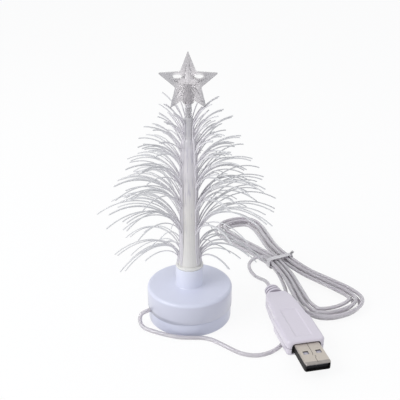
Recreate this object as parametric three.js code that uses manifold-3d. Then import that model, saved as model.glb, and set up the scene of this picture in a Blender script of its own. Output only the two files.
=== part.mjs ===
// A small fibre optic Christmas tree on a round lamp base, with a USB lead put up in a hank.
// Millimetres, +Z up. The origin is the centre of the base's underside, on the table.
import * as THREE from "three";
import { mergeVertices } from "three/addons/utils/BufferGeometryUtils.js";
import Module from "manifold-3d";

const wasm = await Module();
wasm.setup();

// Clearances, cuts and facets
const gap = 0.3; // between pieces that touch
const fineGap = 0.1; // between the small flat pieces inside the plug
const overrun = 1; // how far every cut runs past what it cuts
const fuse = 0.4; // how far shapes that are joined run into each other
const mergeTolerance = 1e-4;
const roundSides = 40;
const middleSides = 20;
const smallSides = 12;
const arcSteps = 3;

// Base: an upper shell with a collar, closed by a lower tray
const baseRadius = 21.3;
const baseHeight = 18;
const baseEdge = 1.6;
const baseWall = 1.6;
const seamHeight = 7;
const seamStep = 0.4;
const trayFloor = 1.6;
const trayChamfer = 0.6;
const lipThickness = 1.3;
const lipHeight = 2;
const collarRadius = 6.9;
const collarLength = 10;
const collarWall = 1.4;
const collarFillet = 0.8;
const collarChamfer = 0.4;

// Three screws that come up through the tray into bosses under the shell's roof
const screwInset = 6.6; // from the base's wall to a screw's axis
const screwAngles = [30, 150, 270];
const screwRadius = 0.95;
const screwLength = 10;
const screwHeadRadius = 2.2;
const screwHeadHeight = 2;
const screwDepth = 0.8;
const crossWidth = 0.6;
const crossDepth = 0.9;
const bossRadius = 2.7;
const bossGrip = 0.4;

// Lamp: a 5 mm diode on a round board that stands on three posts
const postHeight = 5.3;
const postRadius = 1.3;
const postCircle = 6;
const postAngles = [90, 210, 330];
const boardRadius = 8;
const boardThickness = 1.2;
const ledStand = 0.6;
const ledFlange = 2.9;
const ledFlangeHeight = 1;
const ledRadius = 2.5;
const ledHeight = 3.6;
const leadSize = 0.5;
const leadPitch = 2.54;
const leadTail = 1.2;
const resistorLength = 3.2;
const resistorWidth = 1.6;
const resistorHeight = 0.6;
const resistorCircle = 5.6;

// Tree: a clear ferrule, a bundle of fibres and four sleeves that let the fibres out
const ferruleRadius = 6.8;
const ferruleHeight = 1.2;
const ferruleWall = 0.8;
const ferruleEdge = 0.4;
const trunkRadius = 5.2;
const trunkHeight = 74.2;
const sleeveWall = 0.9;
const coreTail = 4;
// Height share of the trunk, then radius share of the trunk
const trunkShares = [
  [0, 1.08],
  [0.02, 1.03],
  [0.04, 0.98],
  [0.08, 0.92],
  [0.13, 0.86],
  [0.274, 0.79],
  [0.45, 0.75],
  [0.597, 0.72],
  [0.69, 0.67],
  [0.784, 0.6],
  [0.848, 0.54],
  [0.867, 0.4],
  [1, 0.4],
];
const sleeveEndShares = [0, 0.299, 0.602, 0.811, 1];

// Fibres: eight tiers, each strand in an upright plane of its own through the trunk's axis
const fibreRadius = 0.25;
const fibreReach = 46;
const rootStagger = 0.8;
const fibreSides = 3;
const bunchShare = 0.75;
// Root height as a share of the trunk, strands, bunches, steps, sleeve, half angle at the front
// that stays free of strands, then shares: longest reach of the tree's, shortest of the longest,
// rise of the arch, lowest and highest tip of the reach
const tierShares = [
  { root: 0.032, count: 28, bunches: 5, steps: 5, sleeve: 0, parting: 69, shares: [0.89, 0.5, 0.88, -0.18, 0.04] },
  { root: 0.2, count: 36, bunches: 9, steps: 5, sleeve: 0, parting: 36, shares: [0.98, 0.66, 1, 0.21, 0.55] },
  { root: 0.367, count: 32, bunches: 9, steps: 4, sleeve: 1, parting: 38, shares: [0.84, 0.7, 1, 0.28, 0.62] },
  { root: 0.52, count: 28, bunches: 9, steps: 4, sleeve: 1, parting: 38, shares: [0.67, 0.72, 1, 0.34, 0.76] },
  { root: 0.652, count: 24, bunches: 7, steps: 3, sleeve: 2, parting: 40, shares: [0.54, 0.74, 1, 0.54, 0.86] },
  { root: 0.757, count: 20, bunches: 7, steps: 3, sleeve: 2, parting: 40, shares: [0.46, 0.66, 1, 0.66, 1] },
  { root: 0.846, count: 16, bunches: 5, steps: 3, sleeve: 3, parting: 34, shares: [0.37, 0.66, 1, 0.9, 1.25] },
  { root: 0.923, count: 16, bunches: 5, steps: 3, sleeve: 3, parting: 30, shares: [0.33, 0.45, 1, 1.05, 1.4] },
];
const leaveShares = [0.08, 0.42]; // first control point, out and up, as shares of the reach
const bendShare = 0.55; // second control point, out
const bendRiseShare = 0.52; // second control point, up, on a strand whose tip is level with its root
const bendTipShare = 0.4; // what a tip that is higher by one reach adds to that
// Steps that spread lengths and tips evenly, with no pattern that the eye finds
const goldenShare = 0.618034;
const silverShare = 0.414214;

// Star: a clear bevelled star that pushes onto a clear stem
const stemRadius = 1.6;
const stemWall = 0.45;
const stemLength = 14.7;
const starRadius = 13.8;
const starNotchShare = 0.44;
const starDepth = 5.6;
const starRim = 1.8;
const starSeat = 0.3;
const socketLength = 9;
const socketWall = 0.8;

// Lead: a thin round cord from the base to the plug
const cordRadius = 1;
const cordSides = 8;
const cordStep = 5.5;
const exitAngle = 202;
const cordTailInside = 6.5; // from the wall to the cord's end in the base
const cordInPlug = 4.3; // from the housing's end to the cord's end in it
const stopWidth = 1.6;
const stopThickness = 0.8;
const stopInset = 4.6;
const wireRadius = 0.45;
const wireSpread = 0.6;
const wireSides = 6;

// Hank: five turns in two layers, drawn in at the waist and held by a twisted tie
const hankCentre = [53, 50];
const hankAngle = -63.5;
const hankTurns = 5;
const hankSteps = 24;
const hankSides = 6;
const hankHalfLength = 65;
const hankFrontCut = 2.5; // by which the loop at the front is shorter
const hankPitch = 2.6;
const hankFanShare = 0.4; // by which the pitch grows from the waist to the loops' ends
const hankLayer = 2.5;
const hankFrontBelly = 36;
const hankBackBelly = 31;
const hankLean = -1.2; // by which each loop's end lies to one side
const hankLift = 0.8;
const hankLiftReach = 12;
const tieThickness = 0.5;
const tieWidth = 3;
const tieTwist = 2.2;
const tieTwistRadius = 0.9;
const tieTwistSides = 6;

// Plug: two housing halves round a USB A shell, with a ribbed neck
const plugCentre = [53.7, -37.1];
const plugAngle = -78;
const plugHeight = 6.3;
const housingLength = 44;
const housingHalfWidth = 9.2;
const housingThickness = 7.8;
const housingBevel = 1.3;
const housingWall = 1.3;
const frontWall = 3.6;
const panelDepth = 0.4;
const panelLengthShare = 0.5;
const panelWidthShare = 0.5;
// Distance back from the front face as a share of the length, then half width share
const housingShares = [
  [0, 0.9],
  [0.03, 0.985],
  [0.1, 1],
  [0.42, 1],
  [0.48, 0.93],
  [0.6, 0.88],
  [0.75, 0.84],
  [0.88, 0.76],
  [0.95, 0.66],
  [1, 0.56],
];
const neckLength = 7;
const neckRadius = 4.5; // half its width
const neckHeightShare = 0.86;
const neckGroove = 0.6;
const neckRibs = 3;
// End of a rib, start and end of the groove behind it, as shares of the ribs' pitch
const ribShares = [0.62, 0.7, 0.95];
const shellWidth = 12;
const shellThickness = 4.5;
const shellLength = 18.75;
const shellOut = 14;
const shellWall = 0.35;
const shellCorner = 0.7;
const windowWidth = 2.5;
const windowLength = 2.25;
const windowPitch = 6;
const windowInset = 5.4;
const tongueThickness = 1.84;
const tongueInset = 1.2;
const tongueBlock = 5;
const contactWidth = 1;
const contactThickness = 0.25;
const contactLengths = [7.4, 6.4, 6.4, 7.4];
const contactPlaces = [-3.5, -1, 1, 3.5];
const contactInset = 2.2;

// Heights that follow from the sizes above
const boardBottom = trayFloor + postHeight + gap;
const boardTop = boardBottom + boardThickness;
const ledBottom = boardTop + ledStand;
const holderBottom = ledBottom + ledFlangeHeight + gap;
const ledTop = ledBottom + ledFlangeHeight + ledHeight;
const seatHeight = ledTop + gap;
const boreRadius = collarRadius - collarWall;
const collarTop = baseHeight + collarLength;
const ferruleBottom = seatHeight + gap;
const ferruleShoulder = collarTop + gap;
const ferruleTop = ferruleShoulder + ferruleHeight;
const trunkBottom = ferruleTop + gap;
const trunkTop = trunkBottom + trunkHeight;
const stemBottom = trunkTop + gap;
const stemTop = stemBottom + stemLength;
const starCentre = stemTop + starSeat;
const roofUnderside = baseHeight - baseWall;
const traySeam = seamHeight - gap / 2;
const shellSeam = seamHeight + gap / 2;
const trayRadius = baseRadius - seamStep;

// Makes a closed three.js geometry into a solid that can be cut and joined
function solidOf(geometry) {
  const bare = geometry.clone();
  bare.deleteAttribute("normal");
  bare.deleteAttribute("uv");
  const merged = mergeVertices(bare, mergeTolerance);
  return new wasm.Manifold(
    new wasm.Mesh({
      numProp: 3,
      vertProperties: merged.attributes.position.array,
      triVerts: new Uint32Array(merged.index.array),
    }),
  );
}

// Gives a solid back as a three.js geometry with flat normals
function geometryOf(solid) {
  const mesh = solid.getMesh();
  const indexed = new THREE.BufferGeometry();
  indexed.setAttribute("position", new THREE.BufferAttribute(mesh.vertProperties, 3));
  indexed.setIndex(new THREE.BufferAttribute(mesh.triVerts, 1));
  const flat = indexed.toNonIndexed();
  flat.computeVertexNormals();
  return flat;
}

// Turns a profile of radius and height pairs round +Z. The profile runs up its outside.
function turned(profile, sides = roundSides) {
  const points = profile.map(([radius, height]) => new THREE.Vector2(radius, height));
  return new THREE.LatheGeometry(points, sides).rotateX(Math.PI / 2);
}

// A ring profile closes on itself
function ring(profile, sides = roundSides) {
  return turned([...profile, profile[0]], sides);
}

function arc([radius, height], size, from, to) {
  return Array.from({ length: arcSteps + 1 }, (_, i) => {
    const angle = THREE.MathUtils.degToRad(from + ((to - from) * i) / arcSteps);
    return [radius + size * Math.cos(angle), height + size * Math.sin(angle)];
  });
}

function pillar(radius, bottom, top, [x, y] = [0, 0], sides = smallSides) {
  const profile = [
    [0, bottom],
    [radius, bottom],
    [radius, top],
    [0, top],
  ];
  return turned(profile, sides).translate(x, y, 0);
}

function block([x0, x1], [y0, y1], [z0, z1]) {
  return new THREE.BoxGeometry(x1 - x0, y1 - y0, z1 - z0).translate(
    (x0 + x1) / 2,
    (y0 + y1) / 2,
    (z0 + z1) / 2,
  );
}

function polar(radius, degrees) {
  const angle = THREE.MathUtils.degToRad(degrees);
  return [radius * Math.cos(angle), radius * Math.sin(angle)];
}

// A round tube along a smooth curve through the points, with flat ends
function tubeAlong(points, radius, sides, step) {
  const curve = new THREE.CatmullRomCurve3(points.map((p) => new THREE.Vector3(...p)), false, "centripetal");
  const section = Array.from({ length: sides }, (_, i) => {
    const angle = (2 * Math.PI * i) / sides;
    return new THREE.Vector2(radius * Math.cos(angle), radius * Math.sin(angle));
  });
  return new THREE.ExtrudeGeometry(new THREE.Shape(section), {
    steps: Math.ceil(curve.getLength() / step),
    extrudePath: curve,
  });
}

// A closed tube with one ring of vertices at each point, square to the path there
function tubeThrough(points, radius, sides) {
  const path = points.map((p) => new THREE.Vector3(...p));
  const vertices = [];
  const faces = [];
  let side = new THREE.Vector3(0, 0, 1);
  path.forEach((point, i) => {
    const before = path[Math.max(i - 1, 0)];
    const after = path[Math.min(i + 1, path.length - 1)];
    const along = after.clone().sub(before).normalize();
    side = side.clone().addScaledVector(along, -side.dot(along)).normalize();
    const across = along.clone().cross(side);
    for (let k = 0; k < sides; k++) {
      const angle = (2 * Math.PI * k) / sides;
      const vertex = point
        .clone()
        .addScaledVector(side, radius * Math.cos(angle))
        .addScaledVector(across, radius * Math.sin(angle));
      vertices.push(vertex.x, vertex.y, vertex.z);
    }
  });
  for (let i = 0; i + 1 < path.length; i++) {
    for (let k = 0; k < sides; k++) {
      const a = i * sides + k;
      const b = i * sides + ((k + 1) % sides);
      faces.push(a, b, b + sides, a, b + sides, a + sides);
    }
  }
  const last = (path.length - 1) * sides;
  for (let k = 1; k + 1 < sides; k++) {
    faces.push(0, k + 1, k, last, last + k, last + k + 1);
  }
  const tube = new THREE.BufferGeometry();
  tube.setAttribute("position", new THREE.Float32BufferAttribute(vertices, 3));
  tube.setIndex(faces);
  return tube;
}

// The hole that the lead takes through the wall at the seam
function cordHole() {
  const inner = trayRadius - baseWall - lipThickness - overrun;
  const outer = baseRadius + overrun;
  const hole = new THREE.CylinderGeometry(cordRadius + gap, cordRadius + gap, outer - inner, smallSides);
  return solidOf(
    hole
      .rotateZ(Math.PI / 2)
      .translate((inner + outer) / 2, 0, seamHeight)
      .rotateZ(THREE.MathUtils.degToRad(exitAngle)),
  );
}

function baseUpperShell() {
  const holderRadius = collarRadius;
  const profile = [
    [baseRadius, shellSeam],
    ...arc([baseRadius - baseEdge, baseHeight - baseEdge], baseEdge, 0, 90),
    ...arc([collarRadius + collarFillet, baseHeight + collarFillet], collarFillet, 270, 180),
    [collarRadius, collarTop - collarChamfer],
    [collarRadius - collarChamfer, collarTop],
    [boreRadius, collarTop],
    [boreRadius, seatHeight],
    [ledRadius + gap, seatHeight],
    [ledRadius + gap, holderBottom],
    [holderRadius, holderBottom],
    [holderRadius, roofUnderside],
    [baseRadius - baseWall, roofUnderside],
    [baseRadius - baseWall, shellSeam],
  ];
  let shell = solidOf(ring(profile));
  for (const angle of screwAngles) {
    const place = polar(baseRadius - screwInset, angle);
    const boss = pillar(bossRadius, shellSeam, roofUnderside + fuse, place);
    shell = shell.add(solidOf(boss));
  }
  for (const angle of screwAngles) {
    const place = polar(baseRadius - screwInset, angle);
    const tip = screwDepth + screwHeadHeight + screwLength + gap;
    const pilot = pillar(screwRadius + gap, shellSeam - overrun, tip, place);
    shell = shell.subtract(solidOf(pilot));
  }
  return geometryOf(shell.subtract(cordHole()));
}

function baseLowerTray() {
  const inner = trayRadius - baseWall;
  const lipOuter = baseRadius - baseWall - gap;
  const lipInner = lipOuter - lipThickness;
  const lipFoot = traySeam - lipHeight;
  const profile = [
    [0, 0],
    [trayRadius - trayChamfer, 0],
    [trayRadius, trayChamfer],
    [trayRadius, traySeam],
    [lipOuter, traySeam],
    [lipOuter, traySeam + lipHeight],
    [lipInner, traySeam + lipHeight],
    [lipInner, lipFoot],
    [inner, lipFoot - lipThickness],
    [inner, trayFloor],
    [0, trayFloor],
  ];
  let tray = solidOf(turned(profile));
  const screwSeat = screwDepth + screwHeadHeight + gap;
  for (const angle of screwAngles) {
    const place = polar(baseRadius - screwInset, angle);
    tray = tray.add(solidOf(pillar(bossRadius, trayFloor - fuse, traySeam, place)));
    tray = tray.subtract(solidOf(pillar(screwHeadRadius + gap - bossGrip / 2, -overrun, screwSeat, place)));
    tray = tray.subtract(solidOf(pillar(screwRadius + gap, -overrun, traySeam + overrun, place)));
  }
  for (const angle of postAngles) {
    const post = pillar(postRadius, trayFloor - fuse, trayFloor + postHeight, polar(postCircle, angle));
    tray = tray.add(solidOf(post));
  }
  return geometryOf(tray.subtract(cordHole()));
}

// A pan head screw with a cross recess, standing head down
function baseScrew(angle) {
  const headTop = screwDepth + screwHeadHeight;
  const headEdge = crossWidth / 2;
  const headRadius = screwHeadRadius - bossGrip / 2;
  const profile = [
    [0, screwDepth],
    [headRadius - headEdge, screwDepth],
    [headRadius, screwDepth + headEdge],
    [headRadius, headTop],
    [screwRadius, headTop],
    [screwRadius, headTop + screwLength - screwRadius],
    [0, headTop + screwLength],
  ];
  let screw = solidOf(turned(profile, smallSides));
  const arm = headRadius / 2;
  const slot = [screwDepth - overrun, screwDepth + crossDepth];
  const half = crossWidth / 2;
  screw = screw.subtract(solidOf(block([-arm, arm], [-half, half], slot)));
  screw = screw.subtract(solidOf(block([-half, half], [-arm, arm], slot)));
  return geometryOf(screw).translate(...polar(baseRadius - screwInset, angle), 0);
}

// The diode's clear body: a flange, a straight wall and a dome
function ledLens() {
  const domeCentre = ledTop - ledRadius;
  const profile = [
    [0, ledBottom],
    [ledFlange, ledBottom],
    [ledFlange, ledBottom + ledFlangeHeight],
    [ledRadius, ledBottom + ledFlangeHeight],
    ...arc([0, domeCentre], ledRadius, 0, 90).slice(0, -1),
    [0, ledTop],
  ];
  return turned(profile, smallSides);
}

function ledLead(side) {
  const x = (side * leadPitch) / 2;
  const half = leadSize / 2;
  return block([x - half, x + half], [-half, half], [boardBottom - leadTail, ledBottom - gap]);
}

function ledBoard() {
  let board = solidOf(pillar(boardRadius, boardBottom, boardTop, [0, 0], roundSides));
  for (const side of [-1, 1]) {
    const place = [(side * leadPitch) / 2, 0];
    const hole = pillar(leadSize / 2 + gap, boardBottom - overrun, boardTop + overrun, place);
    board = board.subtract(solidOf(hole));
  }
  return geometryOf(board);
}

function resistor() {
  const bottom = boardTop + fineGap;
  return block(
    [-resistorLength / 2, resistorLength / 2],
    [resistorCircle - resistorWidth / 2, resistorCircle + resistorWidth / 2],
    [bottom, bottom + resistorHeight],
  );
}

// A point in the upright plane of the lead's exit: distance out, sideways place and height
function exitPoint(out, sideways, height) {
  const [x, y] = polar(out, exitAngle);
  const [sx, sy] = polar(sideways, exitAngle + 90);
  return [x + sx, y + sy, height];
}

const cordInnerEnd = baseRadius - cordTailInside;

function supplyWire(side) {
  const landing = boardTop + gap + wireRadius;
  const start = cordInnerEnd - gap;
  const finish = boardRadius - wireRadius * 2;
  const run = start - finish;
  const points = [
    exitPoint(start, side * wireSpread, seamHeight),
    exitPoint(start - run / 4, side * wireSpread, seamHeight),
    exitPoint(start - run / 2, side * (wireSpread + wireRadius), (seamHeight + landing) / 2),
    exitPoint(finish + run / 8, side * (wireSpread + wireRadius * 2), landing),
    exitPoint(finish, side * (wireSpread + wireRadius * 2), landing),
  ];
  return tubeAlong(points, wireRadius, wireSides, wireRadius * 3);
}

// A band clamped on the cord inside the wall, so that a pull can't reach the board
function cordStop() {
  const inner = cordRadius + gap;
  const half = stopWidth / 2;
  const profile = [
    [inner + stopThickness, -half],
    [inner + stopThickness, half],
    [inner, half],
    [inner, -half],
  ];
  return ring(profile, smallSides)
    .rotateY(Math.PI / 2)
    .translate(baseRadius - stopInset, 0, seamHeight)
    .rotateZ(THREE.MathUtils.degToRad(exitAngle));
}

// The ferrule: a spigot in the collar's bore, and a head that sits on the collar
function trunkFerrule() {
  const spigot = boreRadius - gap;
  const inner = spigot - ferruleWall;
  const profile = [
    [spigot, ferruleBottom],
    [spigot, ferruleShoulder],
    [ferruleRadius, ferruleShoulder],
    ...arc([ferruleRadius - ferruleEdge, ferruleTop - ferruleEdge], ferruleEdge, 0, 90),
    [inner, ferruleTop],
    [inner, ferruleBottom],
  ];
  return ring(profile, middleSides);
}

// Outer radius of the trunk at a share of its height
function trunkRadiusAt(share) {
  const upper = Math.max(1, trunkShares.findIndex(([height]) => height >= share));
  const [h0, r0] = trunkShares[upper - 1];
  const [h1, r1] = trunkShares[upper];
  return trunkRadius * (r0 + ((r1 - r0) * (share - h0)) / (h1 - h0));
}

const heightAt = (share) => trunkBottom + trunkHeight * share;

// The bundle of fibres: full width in the ferrule, thinner as each tier leaves it
function trunkCore() {
  const inFerrule = boreRadius - gap - ferruleWall - gap;
  const loss = sleeveWall + gap;
  const inStem = stemRadius - stemWall - gap;
  const steps = trunkShares.map(([share, radius]) => [
    Math.min(trunkRadius * radius - loss, inFerrule),
    heightAt(share),
  ]);
  const profile = [
    [0, ferruleBottom + gap],
    [inFerrule, ferruleBottom + gap],
    ...steps,
    [inStem, stemBottom],
    [inStem, stemBottom + coreTail],
    [0, stemBottom + coreTail],
  ];
  return turned(profile, smallSides);
}

// The strand's line in its own plane: it leaves steeply, arches over and droops to its tip
function strandLine(tier, k) {
  const [reachShare, shortShare, rise, tipLow, tipHigh] = tier.shares;
  const golden = (k * goldenShare) % 1;
  const silver = (k * silverShare + tier.root) % 1;
  const rootHeight = heightAt(tier.root) + (k % 2 ? rootStagger : -rootStagger);
  const rootShare = (rootHeight - trunkBottom) / trunkHeight;
  const rootRadius = trunkRadiusAt(rootShare) - sleeveWall / 2;
  const reach = fibreReach * reachShare * (shortShare + (1 - shortShare) * golden) - rootRadius;
  const tip = tipLow + (tipHigh - tipLow) * silver;
  const leave = rise * leaveShares[1];
  const bend = rise * (bendRiseShare + bendTipShare * tip);
  const line = new THREE.CubicBezierCurve(
    new THREE.Vector2(rootRadius, rootHeight),
    new THREE.Vector2(rootRadius + reach * leaveShares[0], rootHeight + reach * leave),
    new THREE.Vector2(rootRadius + reach * bendShare, rootHeight + reach * bend),
    new THREE.Vector2(rootRadius + reach, rootHeight + reach * tip),
  );
  return line.getPoints(tier.steps);
}

// Strands draw together into bunches, yet each keeps its own direction. They go all round the
// trunk but for the parting on the side that faces the viewer.
function strandAngle(tier, k) {
  const even = (k + 0.5) / tier.count;
  const wave = 2 * Math.PI * tier.bunches;
  const share = even + (bunchShare / wave) * Math.sin(wave * even);
  const front = -90;
  return THREE.MathUtils.degToRad(front + tier.parting + (360 - 2 * tier.parting) * share);
}

function strandPoints(tier, k) {
  const angle = strandAngle(tier, k);
  return strandLine(tier, k).map((p) => [p.x * Math.cos(angle), p.x * Math.sin(angle), p.y]);
}

// One sleeve of the trunk with the strands of its two tiers
function fibreTiers(index) {
  const from = sleeveEndShares[index];
  const to = sleeveEndShares[index + 1] - (index + 2 < sleeveEndShares.length ? gap / trunkHeight : 0);
  const shares = [from, ...trunkShares.map(([share]) => share).filter((s) => s > from && s < to), to];
  const outer = shares.map((share) => [trunkRadiusAt(share), heightAt(share)]);
  const inner = outer.map(([radius, height]) => [radius - sleeveWall, height]).reverse();
  const solids = [solidOf(ring([...outer, ...inner], smallSides))];
  for (const tier of tierShares.filter((t) => t.sleeve === index)) {
    for (let k = 0; k < tier.count; k++) {
      solids.push(solidOf(tubeThrough(strandPoints(tier, k), fibreRadius, fibreSides)));
    }
  }
  return geometryOf(wasm.Manifold.union(solids));
}

function starStem() {
  const bore = stemRadius - stemWall;
  const profile = [
    [stemRadius, stemBottom],
    [stemRadius, stemTop],
    [bore, stemTop],
    [bore, stemBottom],
  ];
  return ring(profile, smallSides);
}

// Five bevelled points: every face slopes from the middle to a thin rim
function starBody() {
  const points = 5;
  const rim = Array.from({ length: 2 * points }, (_, i) => {
    const radius = starRadius * (i % 2 ? starNotchShare : 1);
    const angle = (Math.PI * i) / points;
    return [radius * Math.sin(angle), starCentre + radius * Math.cos(angle)];
  });
  const count = rim.length;
  const vertices = [];
  rim.forEach(([x, z]) => vertices.push(x, -starRim / 2, z));
  rim.forEach(([x, z]) => vertices.push(x, starRim / 2, z));
  vertices.push(0, -starDepth / 2, starCentre, 0, starDepth / 2, starCentre);
  const faces = [];
  for (let i = 0; i < count; i++) {
    const next = (i + 1) % count;
    faces.push(2 * count, next, i, 2 * count + 1, i + count, next + count);
    faces.push(i, next, next + count, i, next + count, i + count);
  }
  const body = new THREE.BufferGeometry();
  body.setAttribute("position", new THREE.Float32BufferAttribute(vertices, 3));
  body.setIndex(faces);
  return body;
}

function starTopper() {
  const socketBottom = starCentre - socketLength;
  const boreRadiusHere = stemRadius + gap;
  const socket = pillar(boreRadiusHere + socketWall, socketBottom, stemTop + gap + socketWall);
  const bore = pillar(boreRadiusHere, socketBottom - overrun, stemTop + gap);
  return geometryOf(solidOf(starBody()).add(solidOf(socket)).subtract(solidOf(bore)));
}

// Centre line of the hank at a number of turns from its start: along, across and height.
// The turns spiral in on the table, climb at the last inner run and spiral out on top.
function hankLocal(turn) {
  const waist = hankPitch * (hankTurns / 2 + 0.25);
  const phase = -Math.PI / 2 - 2 * Math.PI * turn;
  const c = Math.cos(phase);
  const s = Math.sin(phase);
  const cut = c > 0 ? hankFrontCut : 0;
  const belly = c > 0 ? hankFrontBelly : hankBackBelly;
  const width = waist + belly * c * c;
  const slope = new THREE.Vector2(
    -(hankHalfLength - 2 * cut * c) * s,
    c * width - 2 * belly * c * s * s - 2 * hankLean * Math.abs(c) * s,
  ).normalize();
  const order = Math.min(turn, hankTurns - turn);
  const inward = hankPitch * order * (1 + hankFanShare * c * c);
  const along = hankHalfLength * c - cut * c * c - slope.y * inward;
  const across = s * width + hankLean * c * Math.abs(c) + slope.x * inward;
  const climb = THREE.MathUtils.smoothstep(turn, hankTurns / 2 - 0.25, hankTurns / 2 + 0.25);
  const lift = hankLift * Math.exp(-((along / hankLiftReach) ** 2));
  return [along, across, cordRadius + lift + hankLayer * climb];
}

function hankPlace([along, across, height]) {
  const [ux, uy] = polar(1, hankAngle);
  return [
    hankCentre[0] + along * ux - across * uy,
    hankCentre[1] + along * uy + across * ux,
    height,
  ];
}

function hankPoints(perTurn) {
  return Array.from({ length: hankTurns * perTurn + 1 }, (_, i) => hankPlace(hankLocal(i / perTurn)));
}

// Least distance between turns, measured on the rings' centres and on points between them
function hankLeastGap() {
  const between = 4;
  const rings = hankPoints(hankSteps).map((p) => new THREE.Vector3(...p));
  const points = rings.slice(1).flatMap((end, i) =>
    Array.from({ length: between }, (_, k) => rings[i].clone().lerp(end, k / between)),
  );
  let least = Infinity;
  for (let i = 0; i < points.length; i++) {
    for (let j = i + 2 * between; j < points.length; j++) {
      least = Math.min(least, points[i].distanceTo(points[j]));
    }
  }
  return least - 2 * cordRadius;
}

function cordHank() {
  return tubeThrough(hankPoints(hankSteps), cordRadius, hankSides);
}

// A flat band round the waist, with its ends twisted together on the far side
function hankTie() {
  const low = hankLocal(0);
  const left = low[1] - cordRadius - gap;
  const right = -low[1] - hankPitch / 2 + cordRadius + gap;
  const bottom = low[2] - cordRadius - gap;
  const top = low[2] + hankLayer + cordRadius + gap;
  const corner = cordRadius + gap;
  const outline = (grow) => {
    const shape = new THREE.Shape();
    const r = corner + grow;
    const [x0, x1, y0, y1] = [left - grow, right + grow, bottom - grow, top + grow];
    shape.moveTo(x0 + r, y0);
    shape.lineTo(x1 - r, y0);
    shape.absarc(x1 - r, y0 + r, r, -Math.PI / 2, 0);
    shape.absarc(x1 - r, y1 - r, r, 0, Math.PI / 2);
    shape.absarc(x0 + r, y1 - r, r, Math.PI / 2, Math.PI);
    shape.absarc(x0 + r, y0 + r, r, Math.PI, (3 * Math.PI) / 2);
    return shape;
  };
  const band = outline(tieThickness);
  band.holes.push(outline(0));
  const loop = new THREE.ExtrudeGeometry(band, { depth: tieWidth, bevelEnabled: false, curveSegments: arcSteps });
  loop.translate(0, 0, -tieWidth / 2);
  const twist = new THREE.CylinderGeometry(tieTwistRadius / 2, tieTwistRadius, tieTwist, tieTwistSides);
  twist.translate(0, tieTwist / 2, 0).rotateZ(-Math.PI / 4);
  twist.translate(right - corner / 2, top - corner / 2 + tieThickness, 0);
  const tie = geometryOf(solidOf(loop).add(solidOf(twist)));
  // Shape x is across the hank, shape y is up and the extrusion runs along it
  const [ux, uy] = polar(1, hankAngle);
  const frame = new THREE.Matrix4().makeBasis(
    new THREE.Vector3(-uy, ux, 0),
    new THREE.Vector3(0, 0, 1),
    new THREE.Vector3(ux, uy, 0),
  );
  return tie.applyMatrix4(frame).translate(hankCentre[0], hankCentre[1], 0);
}

// Plug frame: x across, y back from the housing's front face, z up from the plug's axis
const [plugX, plugY] = polar(1, plugAngle);
const plugFrame = new THREE.Matrix4()
  .makeBasis(
    new THREE.Vector3(-plugY, plugX, 0),
    new THREE.Vector3(-plugX, -plugY, 0),
    new THREE.Vector3(0, 0, 1),
  )
  .setPosition(plugCentre[0], plugCentre[1], plugHeight);
const inPlug = (geometry) => geometry.applyMatrix4(plugFrame);
const plugPoint = (back, up = 0) => new THREE.Vector3(0, back, up).applyMatrix4(plugFrame).toArray();

function housingOutline(inset) {
  const shape = new THREE.Shape();
  const right = housingShares.map(([back, width]) => [
    housingHalfWidth * width - inset,
    Math.min(Math.max(housingLength * back, inset && frontWall), housingLength - inset),
  ]);
  const left = right.map(([x, y]) => [-x, y]).reverse();
  shape.setFromPoints([...right, ...left].map(([x, y]) => new THREE.Vector2(x, y)));
  return shape;
}

// The whole housing before it is split: a bevelled outline with room for the shell and the wires
function housingBody() {
  const half = housingThickness / 2;
  const outer = new THREE.ExtrudeGeometry(housingOutline(0), {
    depth: housingThickness - 2 * housingBevel,
    bevelThickness: housingBevel,
    bevelSize: housingBevel,
    bevelOffset: -housingBevel,
    bevelSegments: 3,
  }).translate(0, 0, housingBevel - half);
  const inner = new THREE.ExtrudeGeometry(housingOutline(housingWall), {
    depth: housingThickness - 2 * housingWall,
    bevelEnabled: false,
  }).translate(0, 0, housingWall - half);
  const pocket = block(
    [-shellWidth / 2 - gap, shellWidth / 2 + gap],
    [-overrun, shellLength - shellOut + gap],
    [-shellThickness / 2 - gap, shellThickness / 2 + gap],
  );
  const cordWay = new THREE.CylinderGeometry(cordRadius + gap, cordRadius + gap, 2 * housingWall + 2 * overrun, smallSides);
  cordWay.translate(0, housingLength - housingWall, 0);
  const panelHalf = housingHalfWidth * panelWidthShare;
  const panel = block(
    [-panelHalf, panelHalf],
    [frontWall, frontWall + housingLength * panelLengthShare],
    [half - panelDepth, half + overrun],
  );
  return solidOf(outer)
    .subtract(solidOf(inner))
    .subtract(solidOf(pocket))
    .subtract(solidOf(cordWay))
    .subtract(solidOf(panel));
}

function housingHalf(side) {
  const reach = housingThickness + overrun;
  const span = [-housingHalfWidth - overrun, housingHalfWidth + overrun];
  const heights = side > 0 ? [gap / 2, reach] : [-reach, -gap / 2];
  const keep = block(span, [-overrun, housingLength + overrun], heights);
  return inPlug(geometryOf(housingBody().intersect(solidOf(keep))));
}

// The ribbed neck behind the housing, bored for the cord
function strainRelief() {
  const pitch = neckLength / neckRibs;
  const ribs = Array.from({ length: neckRibs }, (_, i) => {
    const start = i * pitch;
    const radius = neckRadius - (i * neckGroove) / 2;
    return [
      [radius, start],
      [radius, start + pitch * ribShares[0]],
      [radius - neckGroove, start + pitch * ribShares[1]],
      [radius - neckGroove, start + pitch * ribShares[2]],
    ];
  }).flat();
  // A profile turned round +Z is tipped over, so that it runs back from the housing. The neck is
  // a little flatter than it is wide, and its bore is round.
  const outside = turned([[0, 0], ...ribs, [0, neckLength]], middleSides).scale(1, neckHeightShare, 1);
  const hole = pillar(cordRadius + gap, -overrun, neckLength + overrun);
  const neck = geometryOf(solidOf(outside).subtract(solidOf(hole)));
  return inPlug(neck.rotateX(-Math.PI / 2).translate(0, housingLength + gap, 0));
}

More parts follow.
